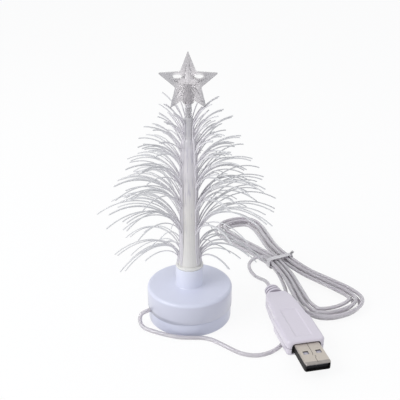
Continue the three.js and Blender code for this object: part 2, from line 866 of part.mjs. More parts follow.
function roundedBox(halfX, halfZ, corner) {
  const shape = new THREE.Shape();
  shape.moveTo(-halfX + corner, -halfZ);
  shape.lineTo(halfX - corner, -halfZ);
  shape.absarc(halfX - corner, -halfZ + corner, corner, -Math.PI / 2, 0);
  shape.absarc(halfX - corner, halfZ - corner, corner, 0, Math.PI / 2);
  shape.absarc(-halfX + corner, halfZ - corner, corner, Math.PI / 2, Math.PI);
  shape.absarc(-halfX + corner, -halfZ + corner, corner, Math.PI, (3 * Math.PI) / 2);
  return shape;
}

// The bright metal shell: a folded tube with two latch windows above and two below
function usbShell() {
  const section = roundedBox(shellWidth / 2, shellThickness / 2, shellCorner);
  section.holes.push(
    roundedBox(shellWidth / 2 - shellWall, shellThickness / 2 - shellWall, shellCorner - shellWall),
  );
  const tube = new THREE.ExtrudeGeometry(section, {
    depth: shellLength,
    bevelEnabled: false,
    curveSegments: arcSteps,
  }).rotateX(-Math.PI / 2).translate(0, -shellOut, 0);
  let shell = solidOf(tube);
  const nearEdge = -windowInset - windowLength;
  for (const side of [-1, 1]) {
    const middle = (side * windowPitch) / 2;
    const window = block(
      [middle - windowWidth / 2, middle + windowWidth / 2],
      [nearEdge, nearEdge + windowLength],
      [-shellThickness, shellThickness],
    );
    shell = shell.subtract(solidOf(window));
  }
  return inPlug(geometryOf(shell));
}

// The plastic tongue that carries the contacts, with the block that fills the shell's back
function usbTongue() {
  const halfWidth = shellWidth / 2 - shellWall - gap;
  const floor = -shellThickness / 2 + shellWall + gap;
  const ceiling = -floor;
  const back = shellLength - shellOut;
  const front = -shellOut + tongueInset;
  const blade = block([-halfWidth, halfWidth], [front, back], [floor, floor + tongueThickness]);
  const rear = block([-halfWidth, halfWidth], [back - tongueBlock, back], [floor, ceiling]);
  return inPlug(geometryOf(solidOf(blade).add(solidOf(rear))));
}

const contactBottom = -shellThickness / 2 + shellWall + gap + tongueThickness + fineGap;

function usbContact(index) {
  const middle = contactPlaces[index];
  const front = -shellOut + contactInset;
  const half = contactWidth / 2;
  return inPlug(
    block(
      [middle - half, middle + half],
      [front, front + contactLengths[index]],
      [contactBottom, contactBottom + contactThickness],
    ),
  );
}

const tailEnd = housingLength - cordInPlug;

// The two cores of the lead, from the cord's end to the back of the contact block
function plugWire(side) {
  const start = tailEnd - gap;
  const finish = shellLength - shellOut + gap;
  const spread = wireSpread + wireRadius * 3;
  const points = [
    [side * wireSpread, start, 0],
    [side * wireSpread, start - housingLength / 8, 0],
    [side * spread, start - housingLength / 3, 0],
    [side * spread, (start + finish) / 2, 0],
    [side * spread, finish, 0],
  ];
  return inPlug(tubeAlong(points, wireRadius, wireSides, housingLength / 10));
}

// Route of the lead from the base to the hank, chosen by hand, after its straight way out
const frontRoute = [
  [-24.0, -9.9, 5.7],
  [-24.6, -11.2, 3.7],
  [-23.9, -13.0, 1.9],
  [-21.9, -15.0, 1.1],
  [-18.6, -16.9, 1.0],
  [-14.5, -19.0, 1.0],
  [-9.4, -20.9, 1.0],
  [-3.8, -22.4, 1.0],
  [1.6, -22.6, 1.0],
  [6.4, -22.8, 1.0],
  [10.2, -24.0, 1.0],
  [14.2, -26.8, 1.0],
  [18.8, -30.6, 1.0],
  [23.2, -34.0, 1.0],
  [27.7, -35.8, 1.0],
  [32.2, -36.0, 1.0],
  [36.9, -34.4, 1.0],
  [41.0, -31.4, 1.0],
  [44.4, -27.2, 1.0],
  [47.2, -20.5, 1.0],
  [49.2, -11.0, 1.0],
  [50.8, 0.0, 1.0],
  [51.8, 11.0, 1.0],
  [52.0, 21.0, 1.0],
  [51.4, 28.4, 1.05],
  [50.5, 35.0, 1.3],
  [49.0, 41.2, 1.65],
];

function cordFront() {
  const [along, across, height] = hankLocal(0);
  const points = [
    exitPoint(cordInnerEnd, 0, seamHeight),
    exitPoint(baseRadius - baseWall, 0, seamHeight),
    exitPoint(baseRadius + cordRadius, 0, seamHeight),
    ...frontRoute,
    hankPlace([along + 2 * cordRadius + gap, across, height]),
    hankPlace([along + gap, across, height]),
  ];
  return tubeAlong(points, cordRadius, cordSides, cordStep);
}

// Route of the lead from the hank to the plug, chosen by hand
const tailRoute = [
  [44.9, 50.6, 4.1],
  [42.6, 53.2, 3.8],
  [39.4, 54.3, 2.9],
  [36.4, 53.2, 1.8],
  [34.6, 50.3, 1.1],
  [34.0, 46.0, 1.0],
  [34.6, 41.2, 1.0],
  [36.2, 36.0, 1.3],
  [38.4, 30.8, 2.4],
  [40.4, 25.8, 4.2],
  [41.6, 20.6, 5.8],
];

function cordTail() {
  const [along, across, height] = hankLocal(hankTurns);
  const neckEnd = housingLength + gap + neckLength;
  const points = [
    hankPlace([along - gap, across, height]),
    hankPlace([along - 2 * cordRadius - gap, across, height]),
    ...tailRoute,
    plugPoint(neckEnd + cordRadius),
    plugPoint(neckEnd - neckLength / 2),
    plugPoint(tailEnd),
  ];
  return tubeAlong(points, cordRadius, cordSides, cordStep / 2);
}

const finishes = {
  baseWhite: { color: 0xd2d4e8, roughness: 0.35, metalness: 0 },
  screwSteel: { color: 0xb0b2b6, roughness: 0.35, metalness: 0.9 },
  lampClear: { color: 0xe8ecf0, roughness: 0.08, metalness: 0 },
  boardGreen: { color: 0x2e6b42, roughness: 0.5, metalness: 0 },
  resistorBlack: { color: 0x1c1c1e, roughness: 0.5, metalness: 0 },
  wireRed: { color: 0xb02a24, roughness: 0.5, metalness: 0 },
  wireBlack: { color: 0x202022, roughness: 0.5, metalness: 0 },
  ferruleMilky: { color: 0xe9e2cf, roughness: 0.25, metalness: 0 },
  fibreClear: { color: 0xbcbcc0, roughness: 0.1, metalness: 0 },
  starClear: { color: 0xe4e6ea, roughness: 0.06, metalness: 0 },
  cordWhite: { color: 0xcfcbd2, roughness: 0.4, metalness: 0 },
  housingWhite: { color: 0xd6d0de, roughness: 0.4, metalness: 0 },
  shellNickel: { color: 0xcdc3b6, roughness: 0.25, metalness: 0.95 },
  tongueBlack: { color: 0x1a1a1c, roughness: 0.5, metalness: 0 },
  contactGold: { color: 0xc9a24a, roughness: 0.25, metalness: 1 },
};

const object = new THREE.Group();

function addPiece(name, geometry, finish) {
  const mesh = new THREE.Mesh(geometry, new THREE.MeshStandardMaterial(finishes[finish]));
  mesh.name = name;
  object.add(mesh);
}

addPiece("base_upper_shell", baseUpperShell(), "baseWhite");
addPiece("base_lower_tray", baseLowerTray(), "baseWhite");
screwAngles.forEach((angle, i) => addPiece(`base_screw_${i + 1}`, baseScrew(angle), "screwSteel"));
addPiece("led_lens", ledLens(), "lampClear");
[-1, 1].forEach((side, i) => addPiece(`led_lead_${i + 1}`, ledLead(side), "screwSteel"));
addPiece("led_board", ledBoard(), "boardGreen");
addPiece("board_resistor", resistor(), "resistorBlack");
addPiece("supply_wire_red", supplyWire(1), "wireRed");
addPiece("supply_wire_black", supplyWire(-1), "wireBlack");
addPiece("cord_stop", cordStop(), "wireBlack");
addPiece("cord_front", cordFront(), "cordWhite");
addPiece("cord_hank", cordHank(), "cordWhite");
addPiece("hank_tie", hankTie(), "baseWhite");
addPiece("cord_tail", cordTail(), "cordWhite");
addPiece("plug_housing_upper", housingHalf(1), "housingWhite");
addPiece("plug_housing_lower", housingHalf(-1), "housingWhite");
addPiece("plug_strain_relief", strainRelief(), "housingWhite");
addPiece("usb_shell", usbShell(), "shellNickel");
addPiece("usb_tongue", usbTongue(), "tongueBlack");
contactPlaces.forEach((_, i) => addPiece(`usb_contact_${i + 1}`, usbContact(i), "contactGold"));
addPiece("plug_wire_red", plugWire(1), "wireRed");
addPiece("plug_wire_black", plugWire(-1), "wireBlack");
addPiece("trunk_ferrule", trunkFerrule(), "ferruleMilky");
addPiece("trunk_core", trunkCore(), "fibreClear");
for (let i = 0; i + 1 < sleeveEndShares.length; i++) {
  addPiece(`fibre_tiers_${i + 1}`, fibreTiers(i), "fibreClear");
}
addPiece("star_stem", starStem(), "starClear");
addPiece("star_topper", starTopper(), "starClear");

console.log("hank's least gap to itself, mm:", hankLeastGap().toFixed(3));

export default object;
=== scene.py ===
import bmesh
import bpy
import numpy as np
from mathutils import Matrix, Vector


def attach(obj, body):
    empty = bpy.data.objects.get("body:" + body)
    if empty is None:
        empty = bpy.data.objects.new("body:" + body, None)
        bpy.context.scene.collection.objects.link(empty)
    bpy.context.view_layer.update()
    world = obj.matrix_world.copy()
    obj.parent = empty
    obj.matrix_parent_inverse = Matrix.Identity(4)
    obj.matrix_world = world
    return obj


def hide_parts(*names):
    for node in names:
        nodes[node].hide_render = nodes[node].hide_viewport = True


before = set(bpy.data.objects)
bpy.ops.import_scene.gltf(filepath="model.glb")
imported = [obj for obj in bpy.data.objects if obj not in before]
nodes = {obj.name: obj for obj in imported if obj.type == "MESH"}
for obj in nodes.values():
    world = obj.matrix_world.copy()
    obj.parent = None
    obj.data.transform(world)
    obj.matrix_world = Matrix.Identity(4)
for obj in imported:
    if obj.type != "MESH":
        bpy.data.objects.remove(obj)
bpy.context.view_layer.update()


# Camera: it stands 285 mm from a point beside the middle of the trunk and looks down at it
# by 23 degrees, which gives the photograph's view.
def aimed(name, data, place, aim):
    """Puts a camera or a lamp into the scene at a place, turned towards its aim."""
    stand = bpy.data.objects.new(name, data)
    bpy.context.scene.collection.objects.link(stand)
    stand.location = place
    stand.rotation_mode = "QUATERNION"
    stand.rotation_quaternion = (Vector(aim) - Vector(place)).to_track_quat("-Z", "Y")
    return stand


camera_place = (0.0052, -0.26195, 0.17567)
camera_aim = (0.0052, 0.0, 0.0634)
camera_data = bpy.data.cameras.new("front_camera")
camera_data.sensor_width = 36.0
camera_data.lens = 54.0
camera_data.clip_start = 0.01
camera_data.clip_end = 30.0
bpy.context.scene.camera = aimed("front_camera", camera_data, camera_place, camera_aim)

# Lead: one thin round cord in a milky vinyl jacket, 2 mm across. It leaves the base at the
# seam, lies round its front and under the plug, is put up in a hank of five turns, and
# ends in the plug.
up_way = np.array([0.0, 0.0, 1.0])
cord_radius = 0.001
base_radius = 0.0213
seam_height = 0.007
exit_angle = np.radians(202.0)
exit_way = np.array([np.cos(exit_angle), np.sin(exit_angle), 0.0])
exit_stretch = np.outer([0.0148, 0.0197, 0.0223], exit_way) + seam_height * up_way

front_stretch = 0.001 * np.array([
    [-24.0, -9.9, 5.7], [-24.6, -11.2, 3.7], [-23.9, -13.0, 1.9], [-21.9, -15.0, 1.1],
    [-18.6, -16.9, 1.0], [-14.5, -19.0, 1.0], [-9.4, -20.9, 1.0], [-3.8, -22.4, 1.0],
    [1.6, -22.6, 1.0], [6.4, -22.8, 1.0], [10.2, -24.0, 1.0], [14.2, -26.8, 1.0],
    [18.8, -30.6, 1.0], [23.2, -34.0, 1.0], [27.7, -35.8, 1.0], [32.2, -36.0, 1.0],
    [36.9, -34.4, 1.0], [41.0, -31.4, 1.0], [44.4, -27.2, 1.0], [47.2, -20.5, 1.0],
    [49.2, -11.0, 1.0], [50.8, 0.0, 1.0], [51.8, 11.0, 1.0], [52.0, 21.0, 1.0],
    [51.4, 28.4, 1.05], [50.5, 35.0, 1.3], [49.0, 41.2, 1.65],
])
tail_stretch = 0.001 * np.array([
    [44.9, 50.6, 4.1], [42.6, 53.2, 3.8], [39.4, 54.3, 2.9], [36.4, 53.2, 1.8],
    [34.6, 50.3, 1.1], [34.0, 46.0, 1.0], [34.6, 41.2, 1.0], [36.2, 36.0, 1.3],
    [38.4, 30.8, 2.4], [40.4, 25.8, 4.2], [41.6, 20.6, 5.8],
])

hank_turns = 5
hank_steps = 24
hank_half_length = 0.065
hank_front_cut = 0.0025
hank_pitch = 0.0026
hank_waist = hank_pitch * (hank_turns / 2.0 + 0.25)
hank_fan = 0.4
hank_layer = 0.0025
hank_layer_turns = 0.25
hank_front_belly = 0.036
hank_back_belly = 0.031
hank_lean = -0.0012
hank_lift = 0.0008
hank_lift_reach = 0.012
hank_centre = np.array([0.053, 0.050, 0.0])
hank_angle = np.radians(-63.5)
hank_along = np.array([np.cos(hank_angle), np.sin(hank_angle), 0.0])
hank_across = np.array([-np.sin(hank_angle), np.cos(hank_angle), 0.0])
plug_centre = np.array([0.0537, -0.0371, 0.0063])
plug_angle = np.radians(-78.0)
plug_across = np.array([-np.sin(plug_angle), np.cos(plug_angle), 0.0])
plug_back = np.array([-np.cos(plug_angle), -np.sin(plug_angle), 0.0])


def ease(value, low, high):
    """0 below low, 1 above high, and 3t^2 - 2t^3 between them."""
    t = np.clip((value - low) / (high - low), 0.0, 1.0)
    return t * t * (3.0 - 2.0 * t)


def hank_line(turn):
    """Centre line of the hank at a number of turns, in its own frame (along, across, up).

    An oval that is drawn in at the waist: along = 65 cos, less 2.5 cos^2 in front, and
    across = (7.15 + belly cos^2) sin - 1.2 cos |cos|, with a belly of 36 in front and 31
    behind. Each turn lies a pitch further in than the last, along the oval's own normal,
    up to the middle, and the rest come out again on a second layer. All hump over the
    tie at the waist.
    """
    phase = -np.pi / 2.0 - 2.0 * np.pi * turn
    c, s = np.cos(phase), np.sin(phase)
    shorter = np.where(c > 0.0, hank_front_cut, 0.0)
    belly = np.where(c > 0.0, hank_front_belly, hank_back_belly)
    width = hank_waist + belly * c * c
    slope = np.stack([
        -(hank_half_length - 2.0 * shorter * c) * s,
        c * width - 2.0 * belly * c * s * s - 2.0 * hank_lean * np.abs(c) * s,
    ], axis=-1)
    slope /= np.linalg.norm(slope, axis=-1, keepdims=True)
    inward = hank_pitch * np.minimum(turn, hank_turns - turn) * (1.0 + hank_fan * c * c)
    along = hank_half_length * c - shorter * c * c - slope[..., 1] * inward
    across = s * width + hank_lean * c * np.abs(c) + slope[..., 0] * inward
    middle = hank_turns / 2.0
    climb = ease(turn, middle - hank_layer_turns, middle + hank_layer_turns)
    hump = hank_lift * np.exp(-((along / hank_lift_reach) ** 2))
    return np.stack([along, across, cord_radius + hump + hank_layer * climb], axis=-1)


def in_the_frame(points, centre, first, second):
    """Points (x, y, z) of a piece's own frame in the shared one: centre + x first +
    y second + z up."""
    x, y, z = np.split(np.asarray(points, float), 3, axis=-1)
    return centre + (x * first + y * second) + z * up_way


def in_the_hank(points):
    """Points (along, across, up) of the hank's frame in the shared one."""
    return in_the_frame(points, hank_centre, hank_along, hank_across)


def in_the_plug(points):
    """Points (across, back from the housing's front face, up from the axis) in the frame."""
    return in_the_frame(points, plug_centre, plug_across, plug_back)


hank_ends = hank_line(np.array([0.0, hank_turns]))
beside_the_end = np.array([[0.0023, 0.0, 0.0], [0.0003, 0.0, 0.0]])
lead_points = np.concatenate([
    exit_stretch,
    front_stretch,
    in_the_hank(hank_ends[0] + beside_the_end),
    in_the_hank(hank_line(np.linspace(0.0, hank_turns, hank_steps * hank_turns + 1))),
    in_the_hank(hank_ends[1] - beside_the_end[::-1]),
    tail_stretch,
    in_the_plug([[0.0, 0.0523, 0.0], [0.0, 0.0478, 0.0], [0.0, 0.0397, 0.0]]),
])


def smooth_handles(points):
    """Bezier handles of a smooth line through the points.

    With d the step to the next point and t = sqrt|d|, the tangent is the centripetal one,
    m = d1/t1 + d2/t2 - (d1 + d2)/(t1 + t2), and each handle lies at m t/3 from its point.
    """
    steps = np.diff(points, axis=0)
    spans = np.sqrt(np.linalg.norm(steps, axis=1, keepdims=True))
    rates = steps / spans
    inner = rates[:-1] + rates[1:] - (steps[:-1] + steps[1:]) / (spans[:-1] + spans[1:])
    tangents = np.concatenate([rates[:1], inner, rates[-1:]])
    after = np.concatenate([spans, spans[-1:]])
    before = np.concatenate([spans[:1], spans])
    return points - tangents * before / 3.0, points + tangents * after / 3.0


def new_piece(name, data, finish, body, slot, *replaced):
    """Puts made data into the scene as a piece with a finish, which rides on a body
    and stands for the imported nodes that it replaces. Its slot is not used."""
    data.materials.append(finish)
    piece = bpy.data.objects.new(name, data)
    bpy.context.scene.collection.objects.link(piece)
    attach(piece, body)
    if replaced:
        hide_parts(*replaced)
    return piece


def node_output(tree, kind, output, inputs, **settings):
    """Adds a shader node with its settings. Each input gets a value or another node's
    output, and the named output is given back."""
    node = tree.nodes.new("ShaderNode" + kind)
    for setting, value in settings.items():
        setattr(node, setting, value)
    for socket, value in inputs.items():
        if isinstance(value, bpy.types.NodeSocket):
            tree.links.new(value, node.inputs[socket])
        else:
            node.inputs[socket].default_value = value
    return node.outputs[output]


def moulded_finish(name, light, dark, grain, roughness, bump=0.0, **sockets):
    """A plastic or metal: its colour drifts from light to dark with a noise as large as
    grain, in metres, its roughness drifts by 15 percent with it, and a finer noise dents
    the surface by up to 0.1 mm."""
    material = bpy.data.materials.new(name)
    material.use_nodes = True
    tree = material.node_tree
    surface = tree.nodes["Principled BSDF"]
    for socket, value in sockets.items():
        surface.inputs[socket.replace("_", " ")].default_value = value
    place = tree.nodes.new("ShaderNodeTexCoord").outputs["Object"]
    drift = node_output(
        tree, "TexNoise", "Fac", {"Vector": place, "Scale": 1.0 / grain, "Detail": 4.0})
    shades = {"Factor": drift, "A": (*light, 1.0), "B": (*dark, 1.0)}
    tint = node_output(tree, "Mix", "Result", shades, data_type="RGBA")
    tree.links.new(tint, surface.inputs["Base Color"])
    limits = {"Value": drift, "To Min": roughness * 0.85, "To Max": roughness * 1.15}
    tree.links.new(node_output(tree, "MapRange", "Result", limits), surface.inputs["Roughness"])
    if bump:
        fine = node_output(
            tree, "TexNoise", "Fac", {"Vector": place, "Scale": 12.0 / grain, "Detail": 3.0})
        dents = {"Height": fine, "Strength": bump, "Distance": 0.0001}
        tree.links.new(node_output(tree, "Bump", "Normal", dents), surface.inputs["Normal"])
    return material


def along_way(material, way, origin=(0.0, 0.0, 0.0)):
    """A socket with (position - origin) . way, in metres: how far along a way a point is."""
    tree = material.node_tree
    place = tree.nodes["Texture Coordinate"].outputs["Object"]
    offset = node_output(
        tree, "VectorMath", "Vector", {0: place, 1: tuple(origin)}, operation="SUBTRACT")
    return node_output(
        tree, "VectorMath", "Value", {0: offset, 1: tuple(way)}, operation="DOT_PRODUCT")


def worked_out(material, operation, first, second=0.0):
    """The result of one operation on two sockets or numbers."""
    values = {0: first, 1: second}
    return node_output(material.node_tree, "Math", "Value", values, operation=operation)


def share_between(material, value, low, high, form="SMOOTHSTEP"):
    """0 where a value is low, 1 where it is high, and a smooth step between them, or a
    straight one where the form is linear."""
    limits = {"Value": value, "From Min": low, "From Max": high}
    return node_output(
        material.node_tree, "MapRange", "Result", limits, interpolation_type=form)


def share_along(material, way, low, high, origin=(0.0, 0.0, 0.0)):
    """0 at a low distance along a way, 1 at a high one, and a smooth step between them."""
    return share_between(material, along_way(material, way, origin), low, high)


def toned(material, share, colour):
    """Lays a colour over a finish where the share is 1."""
    tree = material.node_tree
    socket = tree.nodes["Principled BSDF"].inputs["Base Color"]
    shades = {"Factor": share, "A": socket.links[0].from_socket, "B": (*colour, 1.0)}
    tree.links.new(node_output(tree, "Mix", "Result", shades, data_type="RGBA"), socket)


before_points, after_points = smooth_handles(lead_points)
lead_curve = bpy.data.curves.new("lead", "CURVE")
lead_curve.dimensions = "3D"
lead_curve.resolution_u = 5
lead_curve.bevel_depth = cord_radius
lead_curve.bevel_resolution = 5
lead_curve.use_fill_caps = True
lead_spline = lead_curve.splines.new("BEZIER")
lead_spline.bezier_points.add(len(lead_points) - 1)
lead_spline.bezier_points.foreach_set("co", lead_points.ravel())
lead_spline.bezier_points.foreach_set("handle_left", before_points.ravel())
lead_spline.bezier_points.foreach_set("handle_right", after_points.ravel())
cord_vinyl = moulded_finish(
    "cord_vinyl", (0.70, 0.665, 0.70), (0.61, 0.58, 0.62),
    grain=0.006, roughness=0.3,
    Coat_Weight=1.0, Coat_Roughness=0.06, Coat_IOR=1.6, Transmission_Weight=0.3,
    Subsurface_Weight=1.0, Subsurface_Scale=0.003, Subsurface_Radius=(1.0, 0.95, 1.0),
)
lead = new_piece(
    "lead", lead_curve, cord_vinyl, "base", "cord_white", "cord_front", "cord_hank", "cord_tail")


# Base cap: a round shell of glossy white plastic with a faint blue cast, moulded in one with
# the collar that holds the tree. Its lower rim stands a hair above the tray.
def grid_mesh(name, grids, ends="capped", sharp=35.0):
    """One mesh from equal grids of points, an array (grids, rows, columns, 3).

    Four neighbours in a grid make a face, and its last column joins its first. Its first
    and last row are capped with one face each, joined to each other, or poles, whose
    points meet and become one. Edges that fold by more than sharp degrees stay crisp.
    """
    count, rows, columns = grids.shape[:3]
    corners = np.arange(count * rows * columns).reshape(count, rows, columns)
    ring_ends = np.concatenate([corners[:, 0], corners[:, -1, ::-1]])
    if ends == "joined":
        corners = np.concatenate([corners, corners[:, :1]], axis=1)
    corners = np.concatenate([corners, corners[:, :, :1]], axis=2)
    loops = np.stack([
        corners[:, :-1, :-1], corners[:, 1:, :-1], corners[:, 1:, 1:], corners[:, :-1, 1:],
    ], axis=-1).ravel()
    starts = np.arange(0, len(loops), 4)
    if ends == "capped":
        cap_starts = len(loops) + np.arange(len(ring_ends)) * columns
        loops = np.concatenate([loops, ring_ends.ravel()])
        starts = np.concatenate([starts, cap_starts])
    mesh = bpy.data.meshes.new(name)
    mesh.vertices.add(count * rows * columns)
    mesh.vertices.foreach_set("co", grids.astype(np.float32).ravel())
    mesh.loops.add(len(loops))
    mesh.loops.foreach_set("vertex_index", loops.astype(np.int32))
    mesh.polygons.add(len(starts))
    mesh.polygons.foreach_set("loop_start", starts.astype(np.int32))
    mesh.update(calc_edges=True)
    made = bmesh.new()
    made.from_mesh(mesh)
    bmesh.ops.remove_doubles(made, verts=made.verts, dist=1e-7)
    bmesh.ops.recalc_face_normals(made, faces=made.faces)
    made.to_mesh(mesh)
    made.free()
    mesh.shade_smooth()
    mesh.set_sharp_from_angle(angle=np.radians(sharp))
    return mesh


def grid_piece(name, grids, ends, finish, body, slot, *replaced, sharp=35.0):
    """A piece that is one mesh from equal grids of points."""
    return new_piece(name, grid_mesh(name, grids, ends, sharp), finish, body, slot, *replaced)


def turned(profile, sides):
    """A profile of (radius, height) pairs turned round the trunk's axis: each pair gives
    the points (radius cos a, radius sin a, height) for all the angles a."""
    angles = np.linspace(0.0, 2.0 * np.pi, sides, endpoint=False)
    radius, height = np.asarray(profile, float).T
    x, y = np.outer(radius, np.cos(angles)), np.outer(radius, np.sin(angles))
    return np.stack([x, y, np.repeat(height[:, None], sides, axis=1)], axis=-1)[None]


def fillet(radius, height, size, start, stop, steps=8):
    """Pairs on an arc: (radius + size cos a, height + size sin a), a from start to stop."""
    angles = np.radians(np.linspace(start, stop, steps + 1))
    return list(zip(radius + size * np.cos(angles), height + size * np.sin(angles)))


def cutter(grids, ends="capped", finish=0):
    """A solid to cut a piece with. The faces that it leaves there get the finish of that
    number among the piece's own."""
    mesh = grid_mesh("cutter", grids, ends)
    mesh.polygons.foreach_set("material_index", np.full(len(mesh.polygons), finish, np.int32))
    solid = bpy.data.objects.new("cutter", mesh)
    bpy.context.scene.collection.objects.link(solid)
    return solid


def cut(piece, *cutters, added=(), sharp=35.0):
    """Joins added solids to a piece and takes the cutters out of it, both for good."""
    for operation, others in (("UNION", added), ("DIFFERENCE", cutters)):
        for other in others:
            step = piece.modifiers.new("cut", "BOOLEAN")
            step.operation = operation
            step.solver = "EXACT"
            step.object = other
    graph = bpy.context.evaluated_depsgraph_get()
    finished = bpy.data.meshes.new_from_object(piece.evaluated_get(graph))
    piece.modifiers.clear()
    piece.data = finished
    for other in (*added, *cutters):
        bpy.data.objects.remove(other)
    finished.shade_smooth()
    finished.set_sharp_from_angle(angle=np.radians(sharp))


cord_hole_radius = 0.0013
cord_hole_ends = [0.0165, 0.023]


def cord_hole():
    """A round bar along the lead's way out: centre + r (cos a e1 + sin a e2)."""
    angles = np.linspace(0.0, 2.0 * np.pi, 40, endpoint=False)
    side = np.array([-exit_way[1], exit_way[0], 0.0])
    round_bar = np.outer(np.cos(angles), side) + np.outer(np.sin(angles), up_way)
    middles = np.outer(cord_hole_ends, exit_way) + seam_height * up_way
    return cutter((middles[:, None] + cord_hole_radius * round_bar)[None])


left_way = (-1.0, 0.0, 0.0)
base_sides = 192
base_height = 0.018
cap_bottom = 0.00715
cap_edge = 0.0016
cap_inside = 0.0197
cap_ceiling = 0.0164
collar_radius = 0.0069
collar_top = 0.028
collar_root = 0.0008
collar_edge = 0.0004
bore_radius = 0.0055
lamp_hole_radius = 0.0028
lamp_seat_top = 0.0139
lamp_seat_bottom = 0.0103
fine_edge = 0.0001

base_plastic = moulded_finish(
    "base_plastic", (0.74, 0.76, 0.89), (0.71, 0.73, 0.86),
    grain=0.03, roughness=0.3, bump=0.1,
    Coat_Weight=0.3, Coat_Roughness=0.12,
)
# Painted shade and light: the side is painted greyer than the top and the collar painted paler,
# and the rim is painted dark at the left, a painted shadow where the seam opens
toned(base_plastic, share_along(base_plastic, up_way, 0.0172, 0.0162), (0.65, 0.66, 0.77))
toned(base_plastic, share_along(base_plastic, up_way, 0.0184, 0.0192), (0.78, 0.80, 0.92))
rim_shadow_band = share_along(base_plastic, up_way, 0.0090, 0.0077)
rim_shadow_left = share_along(base_plastic, left_way, -0.006, 0.014)
toned(base_plastic, worked_out(base_plastic, "MULTIPLY", rim_shadow_band, rim_shadow_left), (0.44, 0.45, 0.54))
cap_profile = [
    (base_radius - fine_edge, cap_bottom),
    (base_radius, cap_bottom + 1.5 * fine_edge),
    *fillet(base_radius - cap_edge, base_height - cap_edge, cap_edge, 0, 90),
    *fillet(collar_radius + collar_root, base_height + collar_root, collar_root, 270, 180),
    *fillet(collar_radius - collar_edge, collar_top - collar_edge, collar_edge, 0, 90, 4),
    (bore_radius + fine_edge, collar_top),
    (bore_radius, collar_top - fine_edge),
    (bore_radius, lamp_seat_top),
    (lamp_hole_radius, lamp_seat_top),
    (lamp_hole_radius, lamp_seat_bottom),
    (collar_radius, lamp_seat_bottom),
    (collar_radius, cap_ceiling),
    (cap_inside, cap_ceiling),
    (cap_inside, cap_bottom),
]
base_cap = grid_piece(
    "base_cap", turned(cap_profile, base_sides), "joined", base_plastic,
    "base", "base_white", "base_upper_shell")
cut(base_cap, cord_hole())

# Base tray: the flat lid that closes the base from below, of the same white plastic. Its
# lip stands inside the cap, and three screws hold it from below.
screw_circle = 0.0147
screw_angles = np.radians([30.0, 150.0, 270.0])
well_sides = 40
well_radius = 0.0023
well_top = 0.0031
cut_overrun = 0.001
tray_radius = 0.0209
tray_edge = 0.0006
tray_top = 0.00685
tray_floor = 0.0016
tray_inside = 0.0193
tray_groove = 0.00355
lip_foot = 0.00485
lip_top = 0.00885
lip_outside = 0.0194
lip_inside = 0.0181

tray_plastic = moulded_finish(
    "tray_plastic", (0.68, 0.70, 0.83), (0.65, 0.67, 0.80),
    grain=0.03, roughness=0.3, bump=0.1,
    Coat_Weight=0.3, Coat_Roughness=0.12,
)
# Painted shadow: the tray's top edge is painted dark at the left, where the cap's rim shades the seam
tray_shadow_band = share_along(tray_plastic, up_way, 0.0058, 0.0065)
tray_shadow_left = share_along(tray_plastic, left_way, -0.004, 0.014)
toned(tray_plastic, worked_out(tray_plastic, "MULTIPLY", tray_shadow_band, tray_shadow_left), (0.42, 0.43, 0.52))
tray_profile = [
    (0.0, 0.0),
    (tray_radius - tray_edge - fine_edge, 0.0),
    *fillet(tray_radius - tray_edge, tray_edge, tray_edge, 270, 360, 5),
    (tray_radius, tray_top - fine_edge),
    (tray_radius - fine_edge, tray_top),
    (lip_outside, tray_top),
    (lip_outside, lip_top),
    (lip_inside, lip_top),
    (lip_inside, lip_foot),
    (tray_inside, tray_groove),
    (tray_inside, tray_floor),
    (0.0, tray_floor),
]
base_tray = grid_piece(
    "base_tray", turned(tray_profile, base_sides), "poles", tray_plastic,
    "base", "base_white", "base_lower_tray")
well = turned([
    (0.0, -cut_overrun), (well_radius, -cut_overrun), (well_radius, well_top), (0.0, well_top),
], well_sides)
head_wells = [
    cutter(well + screw_circle * np.array([np.cos(angle), np.sin(angle), 0.0]), "poles")
    for angle in screw_angles
]
cut(base_tray, cord_hole(), *head_wells)


def finish_nodes(finish, *names):
    """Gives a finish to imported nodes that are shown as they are."""
    for name in names:
        nodes[name].data.materials.clear()
        nodes[name].data.materials.append(finish)


screw_steel = moulded_finish(
    "screw_steel", (0.62, 0.62, 0.63), (0.5, 0.5, 0.52),
    grain=0.002, roughness=0.32, bump=0.3, Metallic=1.0,
)
finish_nodes(screw_steel, "base_screw_1", "base_screw_2", "base_screw_3")

# Lamp: a 5 mm diode of clear epoxy on a small green board. It is seen down the collar when
# the tree is lifted out.
lens_sides = 48
lens_radius = 0.0025
lens_bottom = 0.009
lens_dome = 0.0111
flange_radius = 0.0029
flange_top = 0.01

lens_profile = [
    (0.0, lens_bottom),
    (flange_radius, lens_bottom),
    (flange_radius, flange_top - fine_edge),
    (flange_radius - fine_edge, flange_top),
    (lens_radius, flange_top + fine_edge),
    *fillet(0.0, lens_dome, lens_radius, 0, 90, 14)[:-1],
    (0.0, lens_dome + lens_radius),
]
lamp_epoxy = moulded_finish(
    "lamp_epoxy", (0.92, 0.94, 0.96), (0.88, 0.9, 0.93),
    grain=0.004, roughness=0.06, Transmission_Weight=0.85, IOR=1.5,
)
grid_piece("lamp_lens", turned(lens_profile, lens_sides), "poles", lamp_epoxy,
           "base", "lamp_clear", "led_lens")
for finish_name, light, dark, roughness, members in [
    ("board_mask", (0.05, 0.19, 0.08), (0.035, 0.14, 0.06), 0.45, ["led_board"]),
    ("lead_wire", (0.7, 0.7, 0.7), (0.6, 0.6, 0.6), 0.3, ["led_lead_1", "led_lead_2"]),
    ("chip_body", (0.012, 0.012, 0.013), (0.02, 0.02, 0.02), 0.5, ["board_resistor"]),
    ("red_jacket", (0.4, 0.025, 0.02), (0.33, 0.02, 0.018), 0.4,
     ["supply_wire_red", "plug_wire_red"]),
    ("black_jacket", (0.012, 0.012, 0.013), (0.02, 0.02, 0.02), 0.45,
     ["supply_wire_black", "plug_wire_black", "cord_stop"]),
]:
    inner_finish = moulded_finish(
        finish_name, light, dark, grain=0.003, roughness=roughness, bump=0.2)
    finish_nodes(inner_finish, *members)

